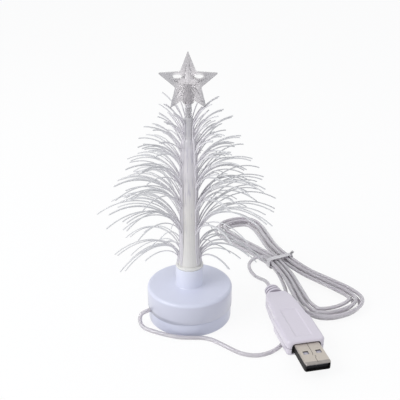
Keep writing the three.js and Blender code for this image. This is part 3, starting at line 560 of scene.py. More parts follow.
# Ferrule: a milky plastic ring that stands in the collar and grips the fibre bundle. Its
# head is a soft, slightly uneven bead with a thin lip.
ferrule_sides = 144
ferrule_radius = 0.0068
ferrule_bottom = 0.0142
ferrule_shoulder = 0.02805
ferrule_top = 0.0295
ferrule_edge = 0.0005
ferrule_chamfer, ferrule_chamfer_rise = 0.0002, 0.0003
ferrule_bore = 0.0044
ferrule_dip = 0.0004
ferrule_lip_radius = 0.00585
ferrule_lip_height = 0.00035
ferrule_lip_foot = 0.0002
bead_bottom = 0.0286
spigot_radius = 0.0052

ferrule_profile = [
    (spigot_radius, ferrule_bottom),
    (spigot_radius, ferrule_shoulder),
    (ferrule_radius - ferrule_chamfer, ferrule_shoulder),
    (ferrule_radius, ferrule_shoulder + ferrule_chamfer_rise),
    *fillet(ferrule_radius - ferrule_edge, ferrule_top - ferrule_edge, ferrule_edge, 0, 90),
    (ferrule_lip_radius + ferrule_lip_foot, ferrule_top),
    (ferrule_lip_radius, ferrule_top + ferrule_lip_height),
    (ferrule_lip_radius - fine_edge, ferrule_top + ferrule_lip_height),
    (ferrule_lip_radius - 2.5 * fine_edge, ferrule_top - fine_edge),
    (ferrule_bore, ferrule_top - ferrule_dip),
    (ferrule_bore, ferrule_bottom),
]
ferrule_grid = turned(ferrule_profile, ferrule_sides)
ferrule_turn = np.arctan2(ferrule_grid[..., 1], ferrule_grid[..., 0])
ferrule_bead = ease(ferrule_grid[..., 2], bead_bottom, ferrule_top)
# The bead waves by 0.1 mm three times round and by 0.06 mm seven times round
ferrule_grid[..., 2] += ferrule_bead * (
    0.0001 * np.sin(3.0 * ferrule_turn + 0.6) + 0.00006 * np.sin(7.0 * ferrule_turn) - 0.00016
)
milky_plastic = moulded_finish(
    "milky_plastic", (0.86, 0.85, 0.81), (0.76, 0.75, 0.73),
    grain=0.002, roughness=0.22, bump=0.6,
    Coat_Weight=0.5, Coat_Roughness=0.1,
    Subsurface_Weight=0.5, Subsurface_Scale=0.0015, Subsurface_Radius=(1.0, 0.95, 0.9),
)
grid_piece("ferrule", ferrule_grid, "joined", milky_plastic,
           "tree", "ferrule_milky", "trunk_ferrule", sharp=60.0)

# Trunk: a bundle of clear fibres under four sleeves, which get narrower upwards as the
# fibres leave them. The fibres show through as faint upright ribs.
trunk_bottom = 0.0298
trunk_height = 0.0742
trunk_radius = 0.0052
core_sides = 144
sleeve_sides = 240
sleeve_rows = 24
trunk_ribs = 24
rib_depth = 0.00005
trunk_shares = np.array([
    [0.0, 1.08], [0.02, 1.03], [0.04, 0.98], [0.08, 0.92], [0.13, 0.86], [0.274, 0.79],
    [0.45, 0.75], [0.597, 0.72], [0.69, 0.67], [0.784, 0.6], [0.848, 0.54], [0.867, 0.4],
    [1.0, 0.4],
])
sleeve_ends = [0.0, 0.299, 0.602, 0.811, 1.0]
sleeve_wall = 0.0009
sleeve_gap = 0.00002
sleeve_foot_drop = 0.00025
sleeve_top_draw = 0.0003
sleeve_round_start, sleeve_round_end = 0.1034, 0.104
core_radius = 0.0041
core_bottom = 0.0145
core_clearance = 0.0003
pin_radius = 0.00085
pin_bottom = 0.1039
pin_top = 0.1083


def trunk_radius_at(share):
    """Radius of the trunk at a share of its height, straight between the shares above."""
    return trunk_radius * np.interp(share, trunk_shares[:, 0], trunk_shares[:, 1])


def trunk_height_at(share):
    """Height above the table at a share of the trunk's height."""
    return trunk_bottom + trunk_height * share


def ribbed(grid):
    """A turned grid whose radius gains depth (|cos(n a / 2)| - 0.64) for n ribs round it,
    which wander a little on the way up."""
    angle = np.arctan2(grid[..., 1], grid[..., 0])
    wander = 0.25 * np.sin(160.0 * grid[..., 2]) + 0.15 * np.sin(410.0 * grid[..., 2] + 2.0)
    swell = rib_depth * (np.abs(np.cos(trunk_ribs / 2.0 * (angle + 0.1 * wander))) - 0.64)
    radius = np.hypot(grid[..., 0], grid[..., 1])
    scale = 1.0 + swell / np.maximum(radius, 0.001)
    return np.stack([grid[..., 0] * scale, grid[..., 1] * scale, grid[..., 2]], axis=-1)


def trunk_finish():
    """Cream at the foot, lilac half way and greyer at the top, by height, with darker
    upright streaks where fibres lie side by side."""
    material = moulded_finish(
        "sleeve_film", (0.86, 0.83, 0.78), (0.74, 0.72, 0.70),
        grain=0.004, roughness=0.3, bump=0.3,
        Coat_Weight=0.3, Coat_Roughness=0.15,
    )
    tree = material.node_tree
    place = tree.nodes["Texture Coordinate"].outputs["Object"]
    level = node_output(tree, "SeparateXYZ", "Z", {"Vector": place})
    limits = {"Value": level, "From Min": trunk_bottom, "From Max": trunk_bottom + trunk_height}
    height = node_output(tree, "MapRange", "Result", limits)
    shade = node_output(tree, "ValToRGB", "Color", {"Fac": height})
    ramp = shade.node.color_ramp.elements
    ramp[0].color = (0.80, 0.79, 0.76, 1.0)
    ramp[1].color = (0.40, 0.40, 0.44, 1.0)
    for share, colour in [(0.35, (0.80, 0.77, 0.73, 1.0)), (0.6, (0.76, 0.72, 0.77, 1.0)),
                          (0.8, (0.70, 0.66, 0.74, 1.0)), (0.9, (0.43, 0.42, 0.49, 1.0))]:
        ramp.new(share).color = colour
    tree.links.new(shade, tree.nodes["Mix"].inputs["A"])
    stretched = node_output(
        tree, "VectorMath", "Vector", {0: place, 1: (1.0, 1.0, 0.07)}, operation="MULTIPLY")
    streaks = node_output(
        tree, "TexNoise", "Fac", {"Vector": stretched, "Scale": 1400.0, "Detail": 2.0})
    streak_share = share_between(material, streaks, 0.52, 0.72)
    climb = share_along(material, up_way, 0.008, 0.03, (0.0, 0.0, trunk_bottom))
    toned(material, worked_out(material, "MULTIPLY", streak_share, climb), (0.50, 0.48, 0.55))
    return material


sleeve_film = trunk_finish()
core_steps = [
    (min(trunk_radius * share - sleeve_wall - core_clearance, core_radius),
     trunk_height_at(height))
    for height, share in trunk_shares
]
core_profile = [
    (0.0, core_bottom), (core_radius, core_bottom), *core_steps,
    (pin_radius, pin_bottom), (pin_radius, pin_top), (0.0, pin_top),
]
grid_piece("fibre_bundle", turned(core_profile, core_sides), "poles", sleeve_film,
           "tree", "fibre_clear", "trunk_core")

# Fibres: clear acrylic strands, just over half a millimetre thick, that leave the trunk in
# eight tiers. Each runs up the trunk and arches out to its cut tip, and they part at the
# front.
fibre_sides = 6
fibre_radius = 0.00028
fibre_reach = 0.046
root_stagger = 0.0008
bunch_share = 0.75
# Root height, strands, bunches, parting in degrees, sleeve, then longest and shortest
# reach, rise of the arch, and lowest and highest tip, as shares
tiers = [
    (0.032, 28, 5, 69.0, 0, (0.89, 0.5, 0.88, -0.18, 0.04)),
    (0.2, 36, 9, 36.0, 0, (0.98, 0.66, 1.0, 0.21, 0.55)),
    (0.367, 32, 9, 38.0, 1, (0.84, 0.7, 1.0, 0.28, 0.62)),
    (0.52, 28, 9, 38.0, 1, (0.67, 0.72, 1.0, 0.34, 0.76)),
    (0.652, 24, 7, 40.0, 2, (0.54, 0.74, 1.0, 0.54, 0.86)),
    (0.757, 20, 7, 40.0, 2, (0.46, 0.66, 1.0, 0.66, 1.0)),
    (0.846, 16, 5, 34.0, 3, (0.37, 0.66, 1.0, 0.9, 1.25)),
    (0.923, 16, 5, 30.0, 3, (0.33, 0.45, 1.0, 1.05, 1.4)),
]


def strand_lines(tier, twin, rows=22, rows_below=9):
    """Centre lines of a tier's strands, an array (strands, rows, 3).

    Each lies close to an upright plane through the trunk's axis. It is the cubic Bezier
    of (0, 0), (0.08, 0.42 rise), (0.55, rise (0.52 + 0.4 tip)) and (1, tip) times its
    reach, never nearer to the axis than the trunk's skin. It lies on that skin for a while
    below its root, and swells off it by up to 0.55 exp(-((z - root)/5)^2) mm where it leaves.
    Every third strand has a twin, close to it and a little shorter. Golden, silver and
    copper scatter the strands' numbers evenly between 0 and 1, in three ways.
    """
    root, count, bunches, parting, _, (long, short, rise, tip_low, tip_high) = tier
    k = np.arange(count)
    if twin:
        k = k[::3]
    golden = (k * 0.618034) % 1.0
    silver = (k * 0.414214 + root) % 1.0
    copper = (k * 0.754878 + 0.37 * twin + root) % 1.0
    root_height = trunk_height_at(root) + np.where(k % 2 == 1, root_stagger, -root_stagger)
    root_height = root_height + twin * 0.0006 * (copper - 0.4)
    root_share = (root_height - trunk_bottom) / trunk_height
    root_radius = trunk_radius_at(root_share) - sleeve_wall / 2.0
    reach = fibre_reach * long * (short + (1.0 - short) * golden) - root_radius
    reach = reach * (1.0 - 0.1 * twin * copper)
    tip = tip_low + (tip_high - tip_low) * silver + 0.03 * twin * (copper - 0.5)
    even = (k + 0.5) / count
    bunching = np.sin(2.0 * np.pi * bunches * even) / (2.0 * np.pi * bunches)
    share = even + bunch_share * bunching
    angle = np.radians(-90.0 + parting + (360.0 - 2.0 * parting) * share)
    angle = angle + twin * 0.02 * (copper - 0.5)
    u = np.linspace(0.0, 1.0, rows)[None, :]
    b1, b2, b3 = 3 * u * (1 - u) ** 2, 3 * u * u * (1 - u), u ** 3
    out = root_radius[:, None] + reach[:, None] * (b1 * 0.08 + b2 * 0.55 + b3)
    bend_rise = rise * (0.52 + 0.4 * tip[:, None])
    arch = b1 * 0.42 * rise + b2 * bend_rise + b3 * tip[:, None]
    up = root_height[:, None] + reach[:, None] * arch
    low = np.maximum(root_height - 0.014 * (0.5 + copper), trunk_bottom + 0.0002)
    high = np.maximum(root_height - 0.0012 * (0.5 + copper), low + 0.0003)
    climb = np.linspace(0.0, 1.0, rows_below)[None, :]
    below = low[:, None] + (high - low)[:, None] * climb
    out = np.concatenate([np.zeros_like(below), out], axis=1)
    up = np.concatenate([below, up], axis=1)
    skin = trunk_radius_at(np.clip((up - trunk_bottom) / trunk_height, 0.0, 1.0))
    swell = np.exp(-(((up - root_height[:, None]) / 0.005) ** 2)) * (0.1 + silver[:, None])
    out = np.maximum(out, skin + 0.0001 + 0.0005 * swell)
    bend = angle[:, None] + 0.1 * (copper[:, None] - 0.5) * ease(out, 0.006, 0.05)
    return np.stack([out * np.cos(bend), out * np.sin(bend), up], axis=-1)


def tubes(lines, radius, sides):
    """Round tubes along lines, an array (lines, rows, 3) to (lines, rows, sides, 3): each
    point gets a ring, centre + radius (cos a side + sin a up), square to the line. The side
    is level and square to the way from the line's start to its end, less its share along
    the line, so no ring is turned against the next."""
    along = np.gradient(lines, axis=1)
    along /= np.linalg.norm(along, axis=2, keepdims=True)
    side = np.cross(lines[:, -1:] - lines[:, :1], up_way)
    side = side - (side * along).sum(axis=2, keepdims=True) * along
    side /= np.linalg.norm(side, axis=2, keepdims=True)
    up = np.cross(side, along)
    angles = np.linspace(0.0, 2.0 * np.pi, sides, endpoint=False)[None, None, :, None]
    ring = np.cos(angles) * side[:, :, None] + np.sin(angles) * up[:, :, None]
    return lines[:, :, None] + radius * ring


def sleeve_grid(low, high):
    """A closed round wall between two shares of the trunk's height: its outside, with the
    top edge drawn in and the last 0.6 mm below the stem rounded off, then its inside. The
    lowest one reaches 0.25 mm further down, into the ferrule's lip."""
    bends = trunk_shares[(trunk_shares[:, 0] > low) & (trunk_shares[:, 0] < high), 0]
    shares = np.sort(np.concatenate([np.linspace(low, high, sleeve_rows), bends]))
    outer = np.stack([trunk_radius_at(shares), trunk_height_at(shares)], axis=-1)
    outer[-1, 0] -= fine_edge
    outer[:, 0] -= sleeve_top_draw * ease(outer[:, 1], sleeve_round_start, sleeve_round_end)
    if low == 0.0:
        outer[0, 1] -= sleeve_foot_drop
    inner = outer[::-1] - [sleeve_wall, 0.0]
    return ribbed(turned(np.concatenate([outer, inner]), sleeve_sides))


fibre_acrylic = moulded_finish(
    "fibre_acrylic", (0.88, 0.88, 0.89), (0.76, 0.76, 0.78),
    grain=0.01, roughness=0.2, Transmission_Weight=0.2, IOR=1.49,
)
fibre_tree = fibre_acrylic.node_tree
fibre_place = fibre_tree.nodes["Texture Coordinate"].outputs["Object"]
flat_place = node_output(
    fibre_tree, "VectorMath", "Vector", {0: fibre_place, 1: (1.0, 1.0, 0.0)}, operation="MULTIPLY")
from_axis = node_output(fibre_tree, "VectorMath", "Value", {0: flat_place}, operation="LENGTH")
near_axis = share_between(fibre_acrylic, from_axis, 0.016, 0.004, "LINEAR")
toned(fibre_acrylic, near_axis, (0.95, 0.92, 0.96))
for sleeve in range(4):
    low, high = sleeve_ends[sleeve], sleeve_ends[sleeve + 1]
    if sleeve < 3:
        high = high - sleeve_gap / trunk_height
    grid_piece(f"trunk_sleeve_{sleeve + 1}", sleeve_grid(low, high), "joined", sleeve_film,
               "tree", "fibre_clear", f"fibre_tiers_{sleeve + 1}")
    lines = np.concatenate([
        strand_lines(tier, twin) for tier in tiers if tier[4] == sleeve for twin in (0, 1)
    ])
    grid_piece(f"fibres_{sleeve + 1}", tubes(lines, fibre_radius, fibre_sides), "capped", fibre_acrylic,
               "tree", "fibre_clear", f"fibre_tiers_{sleeve + 1}", sharp=70.0)

# Stem: a clear plastic tube above the trunk that carries the star. The last fibres end
# in its foot.
stem_sides = 48
stem_radius = 0.0016
stem_bore = 0.00115
stem_foot_radius = 0.00165
stem_foot_top = 0.1048
stem_bottom = 0.10403
stem_top = 0.119

stem_profile = [
    (stem_foot_radius, stem_bottom), (stem_radius, stem_foot_top), (stem_radius, stem_top),
    (stem_bore, stem_top), (stem_bore, stem_bottom),
]
clear_styrene = moulded_finish(
    "clear_styrene", (0.90, 0.89, 0.91), (0.83, 0.82, 0.84),
    grain=0.004, roughness=0.1, Transmission_Weight=0.75, IOR=1.55,
)
grid_piece("star_stem_tube", turned(stem_profile, stem_sides), "joined", clear_styrene,
           "tree", "star_clear", "star_stem")

# Star: one moulding of clear styrene with five ridged points, a shallow scoop on both
# sides of each ridge, two oval windows, and a socket for the stem.
star_radius = 0.0138
star_notch = 0.44
star_depth = 0.0056
star_rim = 0.0018
star_centre = 0.1193
star_tip_round = 0.0006
star_scoop = 0.0005
window_out, window_up = 0.0047, 0.0028
window_half_width, window_half_height = 0.0024, 0.0011
window_rise = 0.0002
socket_sides = 48
socket_radius = 0.0027
socket_mouth_radius = 0.0023
socket_bottom, socket_chamfer_top, socket_top = 0.1103, 0.1113, 0.12
socket_bore_radius = 0.0019
socket_bore_top = 0.1192
pole_rise = 0.0001


def rounded_outline(corners, size, steps, between):
    """Each corner c becomes the curve (1-u)^2 a + 2u(1-u) c + u^2 b between the points a
    and b at a distance size from it on its two sides, and straight runs join them."""
    before = np.roll(corners, 1, axis=0) - corners
    after = np.roll(corners, -1, axis=0) - corners
    a = corners + size * before / np.linalg.norm(before, axis=1, keepdims=True)
    b = corners + size * after / np.linalg.norm(after, axis=1, keepdims=True)
    u = np.linspace(0.0, 1.0, steps)[None, :, None]
    bends = (1 - u) ** 2 * a[:, None] + 2 * u * (1 - u) * corners[:, None] + u * u * b[:, None]
    v = np.linspace(0.0, 1.0, between + 2)[None, 1:-1, None]
    runs = b[:, None] + v * (np.roll(a, -1, axis=0) - b)[:, None]
    return np.concatenate([bends, runs], axis=1).reshape(-1, 2)


def star_face(side):
    """One face of the star, rings from its middle to the rim. A ray from the middle to the
    outline falls evenly, which makes flat facets, less a scoop on each facet that is
    deepest half way along and half way between ridge and valley. An oval window on each
    side, 4.8 by 2.2 mm, is sunk flat to 0.2 mm above the rim's depth."""
    tip_angles = np.pi * np.arange(10) / 5.0
    reach = np.where(np.arange(10) % 2 == 0, star_radius, star_radius * star_notch)
    corners = np.stack([reach * np.sin(tip_angles), reach * np.cos(tip_angles)], axis=-1)
    outline = rounded_outline(corners, star_tip_round, 7, 14)
    s = np.linspace(0.0, 1.0, 30)[:, None]
    turn = np.arctan2(outline[:, 0], outline[:, 1])[None, :]
    across = np.abs(np.sin(5.0 * turn))
    scoop = star_scoop * ease(s, 0.28, 0.5) * (1.0 - ease(s, 0.62, 0.86)) * across
    fall = (star_depth - star_rim) / 2.0 * (1.0 - s)
    depth = star_rim / 2.0 + fall - scoop
    x = s * outline[None, :, 0]
    z = star_centre + s * outline[None, :, 1]
    beside = (np.abs(x) - window_out) / window_half_width
    above = (z - star_centre - window_up) / window_half_height
    window = 1.0 - ease(beside ** 2 + above ** 2, 0.7, 1.3)
    depth = depth + (star_rim / 2.0 + window_rise - depth) * window
    return np.stack([x, side * depth, z], axis=-1)


star_styrene = moulded_finish(
    "star_styrene", (0.86, 0.83, 0.85), (0.74, 0.71, 0.73),
    grain=0.0016, roughness=0.12, bump=0.2, IOR=1.55,
)


def star_squared(value, half):
    """The square of a distance on the star, in units of a window's half size."""
    return worked_out(star_styrene, "POWER", worked_out(star_styrene, "DIVIDE", value, half), 2.0)


# Painted shade: the star is painted greyer towards its side points and its top one, for the dark
# that its refraction shows there, and it is left clear and untinted in its windows
star_side = worked_out(star_styrene, "ABSOLUTE", along_way(star_styrene, (1.0, 0.0, 0.0)))
toned(star_styrene, share_between(star_styrene, star_side, 0.003, 0.0075), (0.58, 0.57, 0.59))
star_top_shade = share_along(star_styrene, up_way, 0.004, 0.008, (0.0, 0.0, star_centre))
toned(star_styrene, star_top_shade, (0.66, 0.64, 0.66))
beside_window = worked_out(star_styrene, "SUBTRACT", star_side, window_out)
above_window = along_way(star_styrene, up_way, (0.0, 0.0, star_centre + window_up))
from_window = worked_out(
    star_styrene, "ADD", star_squared(beside_window, window_half_width),
    star_squared(above_window, window_half_height))
clear_share = share_between(star_styrene, from_window, 1.3, 0.5)
toned(star_styrene, clear_share, (1.0, 1.0, 1.0))
star_glass = worked_out(
    star_styrene, "ADD", worked_out(star_styrene, "MULTIPLY", clear_share, 0.3), 0.7)
star_surface = star_styrene.node_tree.nodes["Principled BSDF"]
star_styrene.node_tree.links.new(star_glass, star_surface.inputs["Transmission Weight"])
star_grid = np.concatenate([star_face(-1.0), star_face(1.0)[::-1]])[None]
star = grid_piece("star", star_grid, "poles", star_styrene,
                  "star", "star_clear", "star_topper", sharp=12.0)
socket = cutter(turned([
    (0.0, socket_bottom), (socket_mouth_radius, socket_bottom),
    (socket_radius, socket_chamfer_top), (socket_radius, socket_top),
    (0.0, socket_top + pole_rise),
], socket_sides), "poles")
socket_bore = cutter(turned([
    (0.0, socket_bottom - cut_overrun), (socket_bore_radius, socket_bottom - cut_overrun),
    (socket_bore_radius, socket_bore_top), (0.0, socket_bore_top + pole_rise),
], socket_sides), "poles")
cut(star, socket_bore, added=[socket], sharp=12.0)

# Twist tie: a flat white band round the waist of the hank, with its ends twisted together
# on the far side.
tie_thickness = 0.0005
tie_width = 0.003
tie_low, tie_high = -0.00845, 0.00715
tie_bottom, tie_top = 0.0005, 0.0056
tie_inner_corner, tie_outer_corner = 0.0013, 0.0018
tail_steps = 40
tail_length = 0.0024
tail_apart = 0.00028
tail_half_width, tail_narrowing = 0.0009, 0.0002
tail_half_thickness = 0.0002
tail_root = (0.0067, 0.0057)


def rounded_loop(x0, x1, z0, z1, corner, steps=8, run=6):
    """Points round a rectangle with round corners: straight runs and quarter circles."""
    centres = np.array([[x1 - corner, z0 + corner], [x1 - corner, z1 - corner],
                        [x0 + corner, z1 - corner], [x0 + corner, z0 + corner]])
    starts = np.radians([-90.0, 0.0, 90.0, 180.0])
    angles = starts[:, None] + np.linspace(0.0, np.pi / 2.0, steps)[None, :]
    quarter = np.stack([np.cos(angles), np.sin(angles)], axis=-1)
    arcs = centres[:, None] + corner * quarter
    v = np.linspace(0.0, 1.0, run + 2)[None, 1:-1, None]
    ends = np.roll(arcs[:, 0], -1, axis=0)
    runs = arcs[:, -1:] + v * (ends - arcs[:, -1])[:, None]
    return np.concatenate([arcs, runs], axis=1).reshape(-1, 2)


tie_plastic = moulded_finish(
    "tie_plastic", (0.82, 0.78, 0.81), (0.70, 0.68, 0.70),
    grain=0.003, roughness=0.3, bump=0.3, Coat_Weight=0.5,
    Subsurface_Weight=0.7, Subsurface_Scale=0.0015, Subsurface_Radius=(1.0, 0.95, 1.0),
)
inside = rounded_loop(tie_low, tie_high, tie_bottom, tie_top, tie_inner_corner)
outside = rounded_loop(
    tie_low - tie_thickness, tie_high + tie_thickness,
    tie_bottom - tie_thickness, tie_top + tie_thickness, tie_outer_corner)
half = tie_width / 2.0
band = np.stack([
    np.insert(loop, 0, way, axis=1)
    for way, loop in ((-half, inside), (-half, outside), (half, outside), (half, inside))
], axis=1)
grid_piece("twist_tie", in_the_hank(band)[None], "joined", tie_plastic,
           "base", "tie_white", "hank_tie")


def tail_grid(shift):
    """One of two flat tails that wind twice round a line on their way out, and narrow to
    their tips: the width lies along cos a e1 + sin a e2, with a from 0 to 4 pi."""
    share = np.linspace(0.0, 1.0, tail_steps)
    climb = tail_length * share * np.sqrt(0.5)
    line = np.stack([0.0 * share, tail_root[0] + climb, tail_root[1] + climb], axis=-1)
    turn = 4.0 * np.pi * share
    first = np.array([1.0, 0.0, 0.0])
    second = np.array([0.0, -np.sqrt(0.5), np.sqrt(0.5)])
    wide = np.outer(np.cos(turn), first) + np.outer(np.sin(turn), second)
    thick = np.outer(-np.sin(turn), first) + np.outer(np.cos(turn), second)
    wide = wide * (tail_half_width - tail_narrowing * share)[:, None]
    centre = line + thick * shift * tail_apart
    return np.stack([
        centre + wide * w + thick * tail_half_thickness * t
        for w, t in ((-1, -1), (1, -1), (1, 1), (-1, 1))
    ], axis=1)


tail_grids = in_the_hank(np.stack([tail_grid(-1.0), tail_grid(1.0)]))
grid_piece("tie_tails", tail_grids, "capped", tie_plastic, "base", "tie_white", sharp=50.0)

# Plug housing: two white plastic halves with soft edges and a shallow panel on top. They
# meet at a fine seam half way up and grip the metal shell in front.
housing_length = 0.044
housing_half_width = 0.0092
housing_half_height = 0.0039
housing_corner = 0.0014
housing_wall = 0.0013
housing_end_drop = 0.0006
housing_front_round, housing_end_round = 0.0012, 0.001
housing_shares = np.array([
    [0.0, 0.9], [0.03, 0.985], [0.1, 1.0], [0.44, 1.0], [0.465, 0.93], [0.6, 0.88],
    [0.75, 0.84], [0.88, 0.76], [0.95, 0.66], [1.0, 0.56],
])
pocket_end, hollow_end = 0.0036, 0.0427
pocket_half_width, pocket_half_height = 0.0063, 0.00255
pocket_widening = 0.0011
pocket_corner = 0.0008
cord_way_radius = 0.0013
cord_way_corner = 0.0012
thinnest_wall = 0.0002
half_seam = 0.00015
panel_depth = 0.0004
panel_half_width = 0.0043
panel_lowest = 0.003
panel_front, panel_back = 0.0034, 0.0259
panel_end_slope, panel_side_slope = 0.0007, 0.0008
scoop_depth = 0.0006
scoop_front, scoop_back = 0.0202, 0.041
scoop_step, scoop_fade = 0.001, 0.007
fine_front, fine_back = 0.0016, 0.0426
fine_gap = 0.0002


def section_columns(edge, arc, top):
    """Multipliers for one half of a rounded box section, from its right seam over the top
    to its left seam. A point is (a (w - c) + b c, d (h - c) + e c) for half width w, half
    height h and corner c."""
    bend = np.linspace(0.0, np.pi / 2.0, arc)
    rise, level = np.linspace(0.0, 1.0, edge), np.linspace(1.0, -1.0, top)
    one, zero = np.ones, np.zeros
    right = [one(edge), one(edge), rise, zero(edge)]
    corner = [one(arc), np.cos(bend), one(arc), np.sin(bend)]
    over = [level, zero(top), one(top), one(top)]
    other = [-one(arc), -np.sin(bend), one(arc), np.cos(bend)]
    left = [-one(edge), -one(edge), rise[::-1], zero(edge)]
    return np.concatenate([np.array(part) for part in (right, corner, over, other, left)], axis=1)


def half_section(columns, w, h, c):
    """Rows of half sections, (rows, columns, 2), from half widths, half heights, corners."""
    a, b, d, e = columns
    w, h, c = (np.reshape(size, (-1, 1)) for size in (w, h, c))
    return np.stack([a * (w - c) + b * c, d * (h - c) + e * c], axis=-1)


def housing_width(back):
    """Half width at a distance back: the shares, softened over a millimetre."""
    spread = np.linspace(-0.0005, 0.0005, 9)
    near = np.clip(back[:, None] + spread[None, :], 0.0, housing_length) / housing_length
    widths = np.interp(near, housing_shares[:, 0], housing_shares[:, 1])
    return housing_half_width * widths.mean(axis=1)


def pocket_flare(up):
    """How far a side of the pocket stands out beyond its top corner at a height z above the
    plug's axis: 1.1 (1 - z/2.55) mm, so the pocket gets wider downwards."""
    return pocket_widening * np.clip(1.0 - up / pocket_half_height, 0.0, 2.0)


def end_draw(distance, size):
    """How far a rounded end is drawn in at a distance from it: size (1 - sqrt(1 - t^2)),
    where t falls from 1 at the end to 0 at the distance size."""
    t = 1.0 - np.clip(distance / size, 0.0, 1.0)
    return size * (1.0 - np.sqrt(1.0 - t ** 2))


def housing_half_shell(side):
    """Rows of closed loops: an outer half section and back along an inner one. The inner
    one is the shell's pocket in front, the hollow behind it, and the cord's way at the
    end. The top sinks by 0.4 mm inside the panel's edges, the sides behind their step by
    0.6 mm half way up, as 1 - (z/h)^2, and the ends are drawn in."""
    steps = np.array([pocket_end, hollow_end])
    back = np.sort(np.concatenate([
        np.linspace(0.0, fine_front, 9),
        np.linspace(fine_front + fine_gap, fine_back - fine_gap, 160),
        np.linspace(fine_back, housing_length, 9), steps, steps,
    ]))
    draw = end_draw(back, housing_front_round) + end_draw(housing_length - back, housing_end_round)
    width = housing_width(back) - draw
    drop = housing_end_drop * ease(back, 0.03, housing_length)
    height = housing_half_height - drop - draw
    columns = section_columns(6, 9, 72)
    outer = half_section(columns, width, height, housing_corner)
    zone = np.searchsorted(steps, back, side="left")
    step_rows = np.flatnonzero(np.diff(back) == 0.0)
    zone[step_rows + 1] += 1
    inner_width = np.choose(zone, [pocket_half_width, width - housing_wall, cord_way_radius])
    inner_height = np.choose(zone, [pocket_half_height, height - housing_wall, cord_way_radius])
    inner_corner = np.choose(zone, [pocket_corner, pocket_corner, cord_way_corner])
    inner = half_section(columns, inner_width, inner_height, inner_corner)
    if side > 0:
        panel_x = ease(panel_half_width - np.abs(outer[..., 0]), 0.0, panel_side_slope)
        panel_y = ease(back, panel_front, panel_front + panel_end_slope)
        panel_y = panel_y * (1.0 - ease(back, panel_back - panel_end_slope, panel_back))
        sunk = panel_depth * panel_x * panel_y[:, None]
        outer[..., 1] -= sunk * (outer[..., 1] > panel_lowest)
    scoop = ease(back, scoop_front, scoop_front + scoop_step)
    scoop = scoop * (1.0 - ease(back, scoop_back - scoop_fade, scoop_back))
    level = 1.0 - (outer[..., 1] / height[:, None]) ** 2
    beside = ease(np.abs(outer[..., 0]), 0.8 * width[:, None], width[:, None])
    outer[..., 0] -= np.sign(outer[..., 0]) * scoop_depth * scoop[:, None] * level * beside
    wider = (zone == 0)[:, None] * pocket_flare(side * inner[..., 1])
    inner[..., 0] += np.sign(inner[..., 0]) * wider
    limit = (width - thinnest_wall)[:, None]
    inner[..., 0] = np.clip(inner[..., 0], -limit, limit)
    loop = np.concatenate([outer, inner[:, ::-1]], axis=1)
    loop[..., 1] = np.maximum(loop[..., 1], half_seam)
    rows = np.repeat(back[:, None], loop.shape[1], axis=1)
    return np.stack([loop[..., 0], rows, side * loop[..., 1]], axis=-1)


housing_plastic = moulded_finish(
    "housing_plastic", (0.76, 0.71, 0.79), (0.73, 0.68, 0.76),
    grain=0.02, roughness=0.34, bump=0.3,
    Coat_Weight=0.6, Coat_Roughness=0.14, Coat_IOR=1.6,
)
for side, name in ((1.0, "upper"), (-1.0, "lower")):
    grid_piece(
        f"housing_{name}", in_the_plug(housing_half_shell(side))[None], "capped",
        housing_plastic, "base", "housing_white", f"plug_housing_{name}", sharp=40.0)

# Neck: the ribbed strain relief behind the housing, of the same plastic, but painted paler as
# painted light and darker in its grooves as painted shade. Its bore holds the cord where it enters the
# plug.
neck_start = housing_length + 0.0003
neck_ribs = 3
neck_length = 0.007
neck_radius = 0.0045
neck_rib_step = 0.0003
neck_groove = 0.0008
neck_rib_share = 0.7
neck_flatness = 0.86
neck_sides = 64


def neck_profile():
    """(half width, distance back) of three rounded ribs, each a little thinner than the
    one before it, with a groove 0.8 mm deep behind each, then of the cord's way."""
    pitch = neck_length / neck_ribs
    back = np.linspace(0.0, neck_length, 90)
    number = np.minimum((back / pitch).astype(int), neck_ribs - 1)
    share = back / pitch - number
    crown = np.sqrt(np.clip(1.0 - (share / (neck_rib_share / 2.0) - 1.0) ** 6, 0.0, 1.0))
    crown = np.where(share > neck_rib_share, 0.0, crown)
    ribs = neck_radius - neck_rib_step * number - neck_groove * (1.0 - crown)
    way = [cord_way_radius, cord_way_radius]
    return np.concatenate([ribs, way]), np.concatenate([back, [neck_length, 0.0]])


rib_widths, rib_places = neck_profile()
rib_heights = rib_widths * np.where(rib_widths > 0.002, neck_flatness, 1.0)
neck_turn = np.linspace(0.0, 2.0 * np.pi, neck_sides, endpoint=False)
neck_grid = np.stack([
    np.outer(rib_widths, np.cos(neck_turn)),
    np.repeat(neck_start + rib_places[:, None], neck_sides, axis=1),
    np.outer(rib_heights, np.sin(neck_turn)),
], axis=-1)
# Painted light: a paler copy of the housing's plastic
neck_plastic = moulded_finish(
    "neck_plastic", (0.82, 0.77, 0.85), (0.78, 0.73, 0.81),
    grain=0.02, roughness=0.34, bump=0.35,
    Coat_Weight=0.2, Coat_Roughness=0.2,
)
# Painted shade: a darker band in the groove behind each rib
neck_back = along_way(neck_plastic, plug_back, in_the_plug([0.0, neck_start, 0.0]))
rib_place = worked_out(neck_plastic, "DIVIDE", neck_back, neck_length / neck_ribs)
rib_share = worked_out(neck_plastic, "FRACT", worked_out(neck_plastic, "ADD", rib_place, 0.88))
toned(neck_plastic, share_between(neck_plastic, rib_share, 0.5, 0.62), (0.42, 0.38, 0.44))
grid_piece("plug_neck", in_the_plug(neck_grid)[None], "joined", neck_plastic,
           "base", "housing_white", "plug_strain_relief")
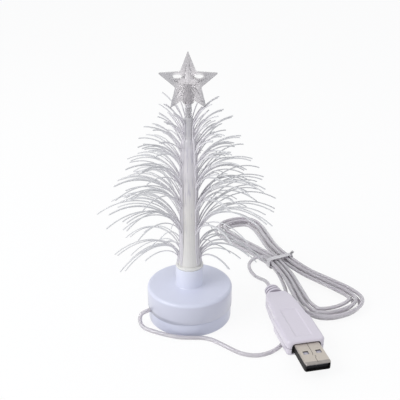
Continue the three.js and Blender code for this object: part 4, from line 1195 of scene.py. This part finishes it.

# Plug shell: nickel plated steel sheet folded into a flat tube, bright on top and painted near black at
# its sides, mouth and window rims as painted shade and dark reflection, with a keyed seam down the
# middle of its top, two latch windows above and two below, and a turned-in lip painted darker as
# painted shade.
# A black insert, a sheet of painted shade, seats it in the housing.
shell_half_width = 0.006
shell_half_height = 0.00225
shell_wall = 0.00035
shell_corner, shell_inner_corner = 0.0007, 0.00045
shell_top_zone = 0.0012
latch_out, latch_half_width = 0.003, 0.00125
latch_front, latch_back = -0.00765, -0.0054
latch_reach = 0.0045
seam_half_width = 0.00011
seam_bottom, seam_top = 0.0021, 0.003
shell_back = np.array([-0.014, -0.0139, -0.0136, -0.0132, -0.0127, 0.00475])
mouth_draw = np.array([0.00034, 0.00024, 0.00012, 0.00004, 0.0, 0.0])
seam_line = 0.001 * np.array([
    [0.0, -14.3], [0.0, -10.3], [0.45, -9.9], [0.45, -8.9], [-0.45, -8.6], [-0.45, -7.9],
    [-0.1, -7.4], [-0.1, 3.4],
])


def plug_grid(loops, backs):
    """Loops of (across, up) points, each at its own distance back, as a grid."""
    rows = [np.insert(loop, 1, back, axis=1) for loop, back in zip(loops, backs)]
    return in_the_plug(np.stack(rows))[None]


def shell_loop(grow, corner):
    """Points round the shell's section, made smaller by grow on every side."""
    w, h = shell_half_width - grow, shell_half_height - grow
    return rounded_loop(-w, w, -h, h, corner, 8, 14)


def box_loop(x0, x1, z0, z1):
    """The four corners of an upright rectangle."""
    return np.array([(x0, z0), (x1, z0), (x1, z1), (x0, z1)])


def face_vectors(mesh, kind):
    """One vector for each face of a mesh: its normal or its centre."""
    values = np.empty(3 * len(mesh.polygons), np.float32)
    mesh.polygons.foreach_get(kind, values)
    return values.reshape(-1, 3)


outer_loops = [shell_loop(draw, shell_corner) for draw in mouth_draw]
inner_loops = [
    shell_loop(draw + shell_wall - fine_edge * (draw > 0.0002), shell_inner_corner)
    for draw in mouth_draw
]
shell_grid = plug_grid(outer_loops + inner_loops[::-1], [*shell_back, *shell_back[::-1]])
nickel_plate = moulded_finish(
    "nickel_plate", (0.60, 0.55, 0.50), (0.52, 0.48, 0.43),
    grain=0.0012, roughness=0.34, bump=0.5, Metallic=1.0,
)
# Painted shade and reflection: a near black finish for the shell's sides, mouth and window rims, and
# for the insert
painted_dark_plate = moulded_finish(
    "painted_dark_plate", (0.014, 0.013, 0.013), (0.022, 0.02, 0.02),
    grain=0.002, roughness=0.5, bump=0.3, Specular_IOR_Level=0.15,
)
seam_plate = moulded_finish(
    "seam_plate", (0.25, 0.23, 0.20), (0.18, 0.165, 0.15),
    grain=0.001, roughness=0.5, bump=0.3, Metallic=0.6,
)
# Painted shade: a darker copy of the nickel for the turned-in lip and the mouth's lip bar
lip_shaded_plate = moulded_finish(
    "lip_shaded_plate", (0.42, 0.39, 0.37), (0.30, 0.28, 0.26),
    grain=0.002, roughness=0.4, bump=0.5, Metallic=0.8,
)
metal_shell = grid_piece("metal_shell", shell_grid, "joined", nickel_plate,
                         "base", "shell_nickel", "usb_shell")
for plate in (painted_dark_plate, seam_plate, lip_shaded_plate):
    metal_shell.data.materials.append(plate)
bright, dark, seamed, lipped = range(4)
face_ways = face_vectors(metal_shell.data, "normal")
face_places = face_vectors(metal_shell.data, "center")
# Painted shade and reflection: top faces keep the nickel, the turned-in lip takes the darker lip
# finish, and all other faces the near black one
high_up = face_places[:, 2] > plug_centre[2] + shell_top_zone
on_top = (face_ways[:, 2] > 0.3) & high_up
to_the_front = face_ways @ plug_back < -0.5
at_the_mouth = (face_places - plug_centre) @ plug_back < shell_back[4]
turned_in = high_up & at_the_mouth & (on_top | to_the_front)
finish_numbers = np.where(turned_in, lipped, np.where(on_top, bright, dark))
metal_shell.data.polygons.foreach_set("material_index", finish_numbers.astype(np.int32))
shell_cutters = []
# Painted shade: the latch windows' cut rims take the near black finish
for middle in (-latch_out, latch_out):
    latch_window = box_loop(
        middle - latch_half_width, middle + latch_half_width, -latch_reach, latch_reach)
    latch_grid = plug_grid([latch_window] * 2, (latch_front, latch_back))
    shell_cutters.append(cutter(latch_grid, finish=dark))
seam_section = box_loop(-seam_half_width, seam_half_width, seam_bottom, seam_top)
seam_grid = plug_grid([seam_section + [x, 0.0] for x in seam_line[:, 0]], seam_line[:, 1])
shell_cutters.append(cutter(seam_grid, finish=seamed))
cut(metal_shell, *shell_cutters)


def plug_bar(half_width, bottom, top, corner, front, back, edge):
    """A bar across the plug, with a ring of points at each end and one an edge inside."""
    loop = rounded_loop(-half_width, half_width, bottom, top, corner, 4, 12)
    return plug_grid([loop] * 4, (front, front + edge, back - edge, back))


# The lip bar takes the darker lip finish, a painted shade
lip_grid = plug_bar(
    half_width=0.0055, bottom=0.0013, top=0.00193, corner=0.0002,
    front=-0.01385, back=-0.01335, edge=0.00005)
grid_piece("mouth_lip", lip_grid, "capped", lip_shaded_plate, "base", "shell_nickel")

# Painted shade: the insert is a near black sheet in the housing's pocket round the shell, where shade
# falls
insert_gap = 0.00003
insert_wall = 0.0002
insert_front, insert_back = 0.0004, 0.003
insert_outside = shell_loop(-insert_wall, shell_corner)
insert_outside[:, 0] += np.sign(insert_outside[:, 0]) * pocket_flare(insert_outside[:, 1])
insert_inside = shell_loop(-insert_gap, shell_corner)
insert_grid = plug_grid(
    [insert_outside, insert_outside, insert_inside, insert_inside],
    (insert_front, insert_back, insert_back, insert_front))
grid_piece("plug_insert", insert_grid, "joined", painted_dark_plate, "base", "tongue_black")

# Strip and tongue: behind the windows lies a pale plastic strip, from one wall of the shell
# to the other. The tongue in the mouth is pale on top, where its four gold flashed contacts
# lie, and painted near black in front and below, as painted shade in the mouth.
strip_grid = plug_bar(
    half_width=0.00564, bottom=0.00135, top=0.0016, corner=0.0001,
    front=-0.0087, back=-0.0043, edge=0.0001)
pale_insulator = moulded_finish(
    "pale_insulator", (0.66, 0.63, 0.70), (0.60, 0.57, 0.64),
    grain=0.002, roughness=0.4, bump=0.3,
)
grid_piece("window_strip", strip_grid, "capped", pale_insulator, "base", "housing_white")

tongue_plastic = moulded_finish(
    "tongue_plastic", (0.012, 0.012, 0.014), (0.02, 0.02, 0.022),
    grain=0.004, roughness=0.45, bump=0.3, Specular_IOR_Level=0.2,
)
# Painted shade: the tongue is near black below its pale top
tongue_top = share_along(tongue_plastic, up_way, 0.00015, 0.00022, plug_centre)
toned(tongue_plastic, tongue_top, (0.62, 0.60, 0.64))
finish_nodes(tongue_plastic, "usb_tongue")
contact_gold = moulded_finish(
    "contact_gold", (0.62, 0.42, 0.14), (0.55, 0.36, 0.11),
    grain=0.001, roughness=0.25, bump=0.2, Metallic=1.0,
)
contacts = ["usb_contact_1", "usb_contact_2", "usb_contact_3", "usb_contact_4"]
finish_nodes(contact_gold, *contacts)

# Stage: a pale floor that takes the shadow, in soft light from a large lamp at the front
# left and from all round.
floor_half = 4.0
floor_drop = 0.00002
floor_white = 0.86
floor_glow = 1.03
floor_glow_share = 0.86
floor_mesh = bpy.data.meshes.new("floor")
floor_mesh.from_pydata([
    (-floor_half, -floor_half, 0.0), (floor_half, -floor_half, 0.0),
    (floor_half, floor_half, 0.0), (-floor_half, floor_half, 0.0),
], [], [(0, 1, 2, 3)])
floor = bpy.data.objects.new("floor", floor_mesh)
floor.location.z = -floor_drop
bpy.context.scene.collection.objects.link(floor)


def seen_share(tree):
    """1 for the rays that show a thing to the camera, to gloss or through glass."""
    path = tree.nodes.new("ShaderNodeLightPath")
    share = path.outputs["Is Camera Ray"]
    for other in ("Is Glossy Ray", "Is Transmission Ray"):
        rays = {0: share, 1: path.outputs[other]}
        share = node_output(tree, "Math", "Value", rays, operation="MAXIMUM")
    return share


def seen_as_white(tree, share, plain, white, end):
    """Joins a tree's end to its plain shader, with a white one laid over it by a share."""
    mixed = node_output(tree, "MixShader", "Shader", {"Fac": share, 1: plain, 2: white})
    tree.links.new(mixed, tree.nodes[end].inputs["Surface"])


floor_paper = bpy.data.materials.new("floor_paper")
floor_paper.use_nodes = True
floor_tree = floor_paper.node_tree
paper = floor_tree.nodes["Principled BSDF"]
paper.inputs["Base Color"].default_value = (floor_white, floor_white, floor_white, 1.0)
paper.inputs["Roughness"].default_value = 1.0
paper.inputs["Specular IOR Level"].default_value = 0.0
white_glow = node_output(floor_tree, "Emission", "Emission", {"Strength": floor_glow})
floor_share = worked_out(floor_paper, "MULTIPLY", seen_share(floor_tree), floor_glow_share)
seen_as_white(floor_tree, floor_share, paper.outputs["BSDF"], white_glow, "Material Output")
floor_mesh.materials.append(floor_paper)

world = bpy.data.worlds.new("soft_room")
bpy.context.scene.world = world
world.use_nodes = True
room = world.node_tree
room_light = room.nodes["Background"]
room_light.inputs["Color"].default_value = (0.94, 0.96, 1.0, 1.0)
room_light.inputs["Strength"].default_value = 0.68
white_room = node_output(
    room, "Background", "Background", {"Color": (1.0, 1.0, 1.0, 1.0), "Strength": 1.0})
seen_as_white(
    room, seen_share(room), room_light.outputs["Background"], white_room, "World Output")

lamp_place = (-0.64, -0.31, 0.55)
lamp_aim = (0.01, 0.0, 0.05)
lamp_data = bpy.data.lights.new("window_light", "AREA")
lamp_data.shape = "RECTANGLE"
lamp_data.size = 0.6
lamp_data.size_y = 0.45
lamp_data.energy = 3.5
aimed("window_light", lamp_data, lamp_place, lamp_aim)

bpy.context.scene.view_settings.view_transform = "Standard"
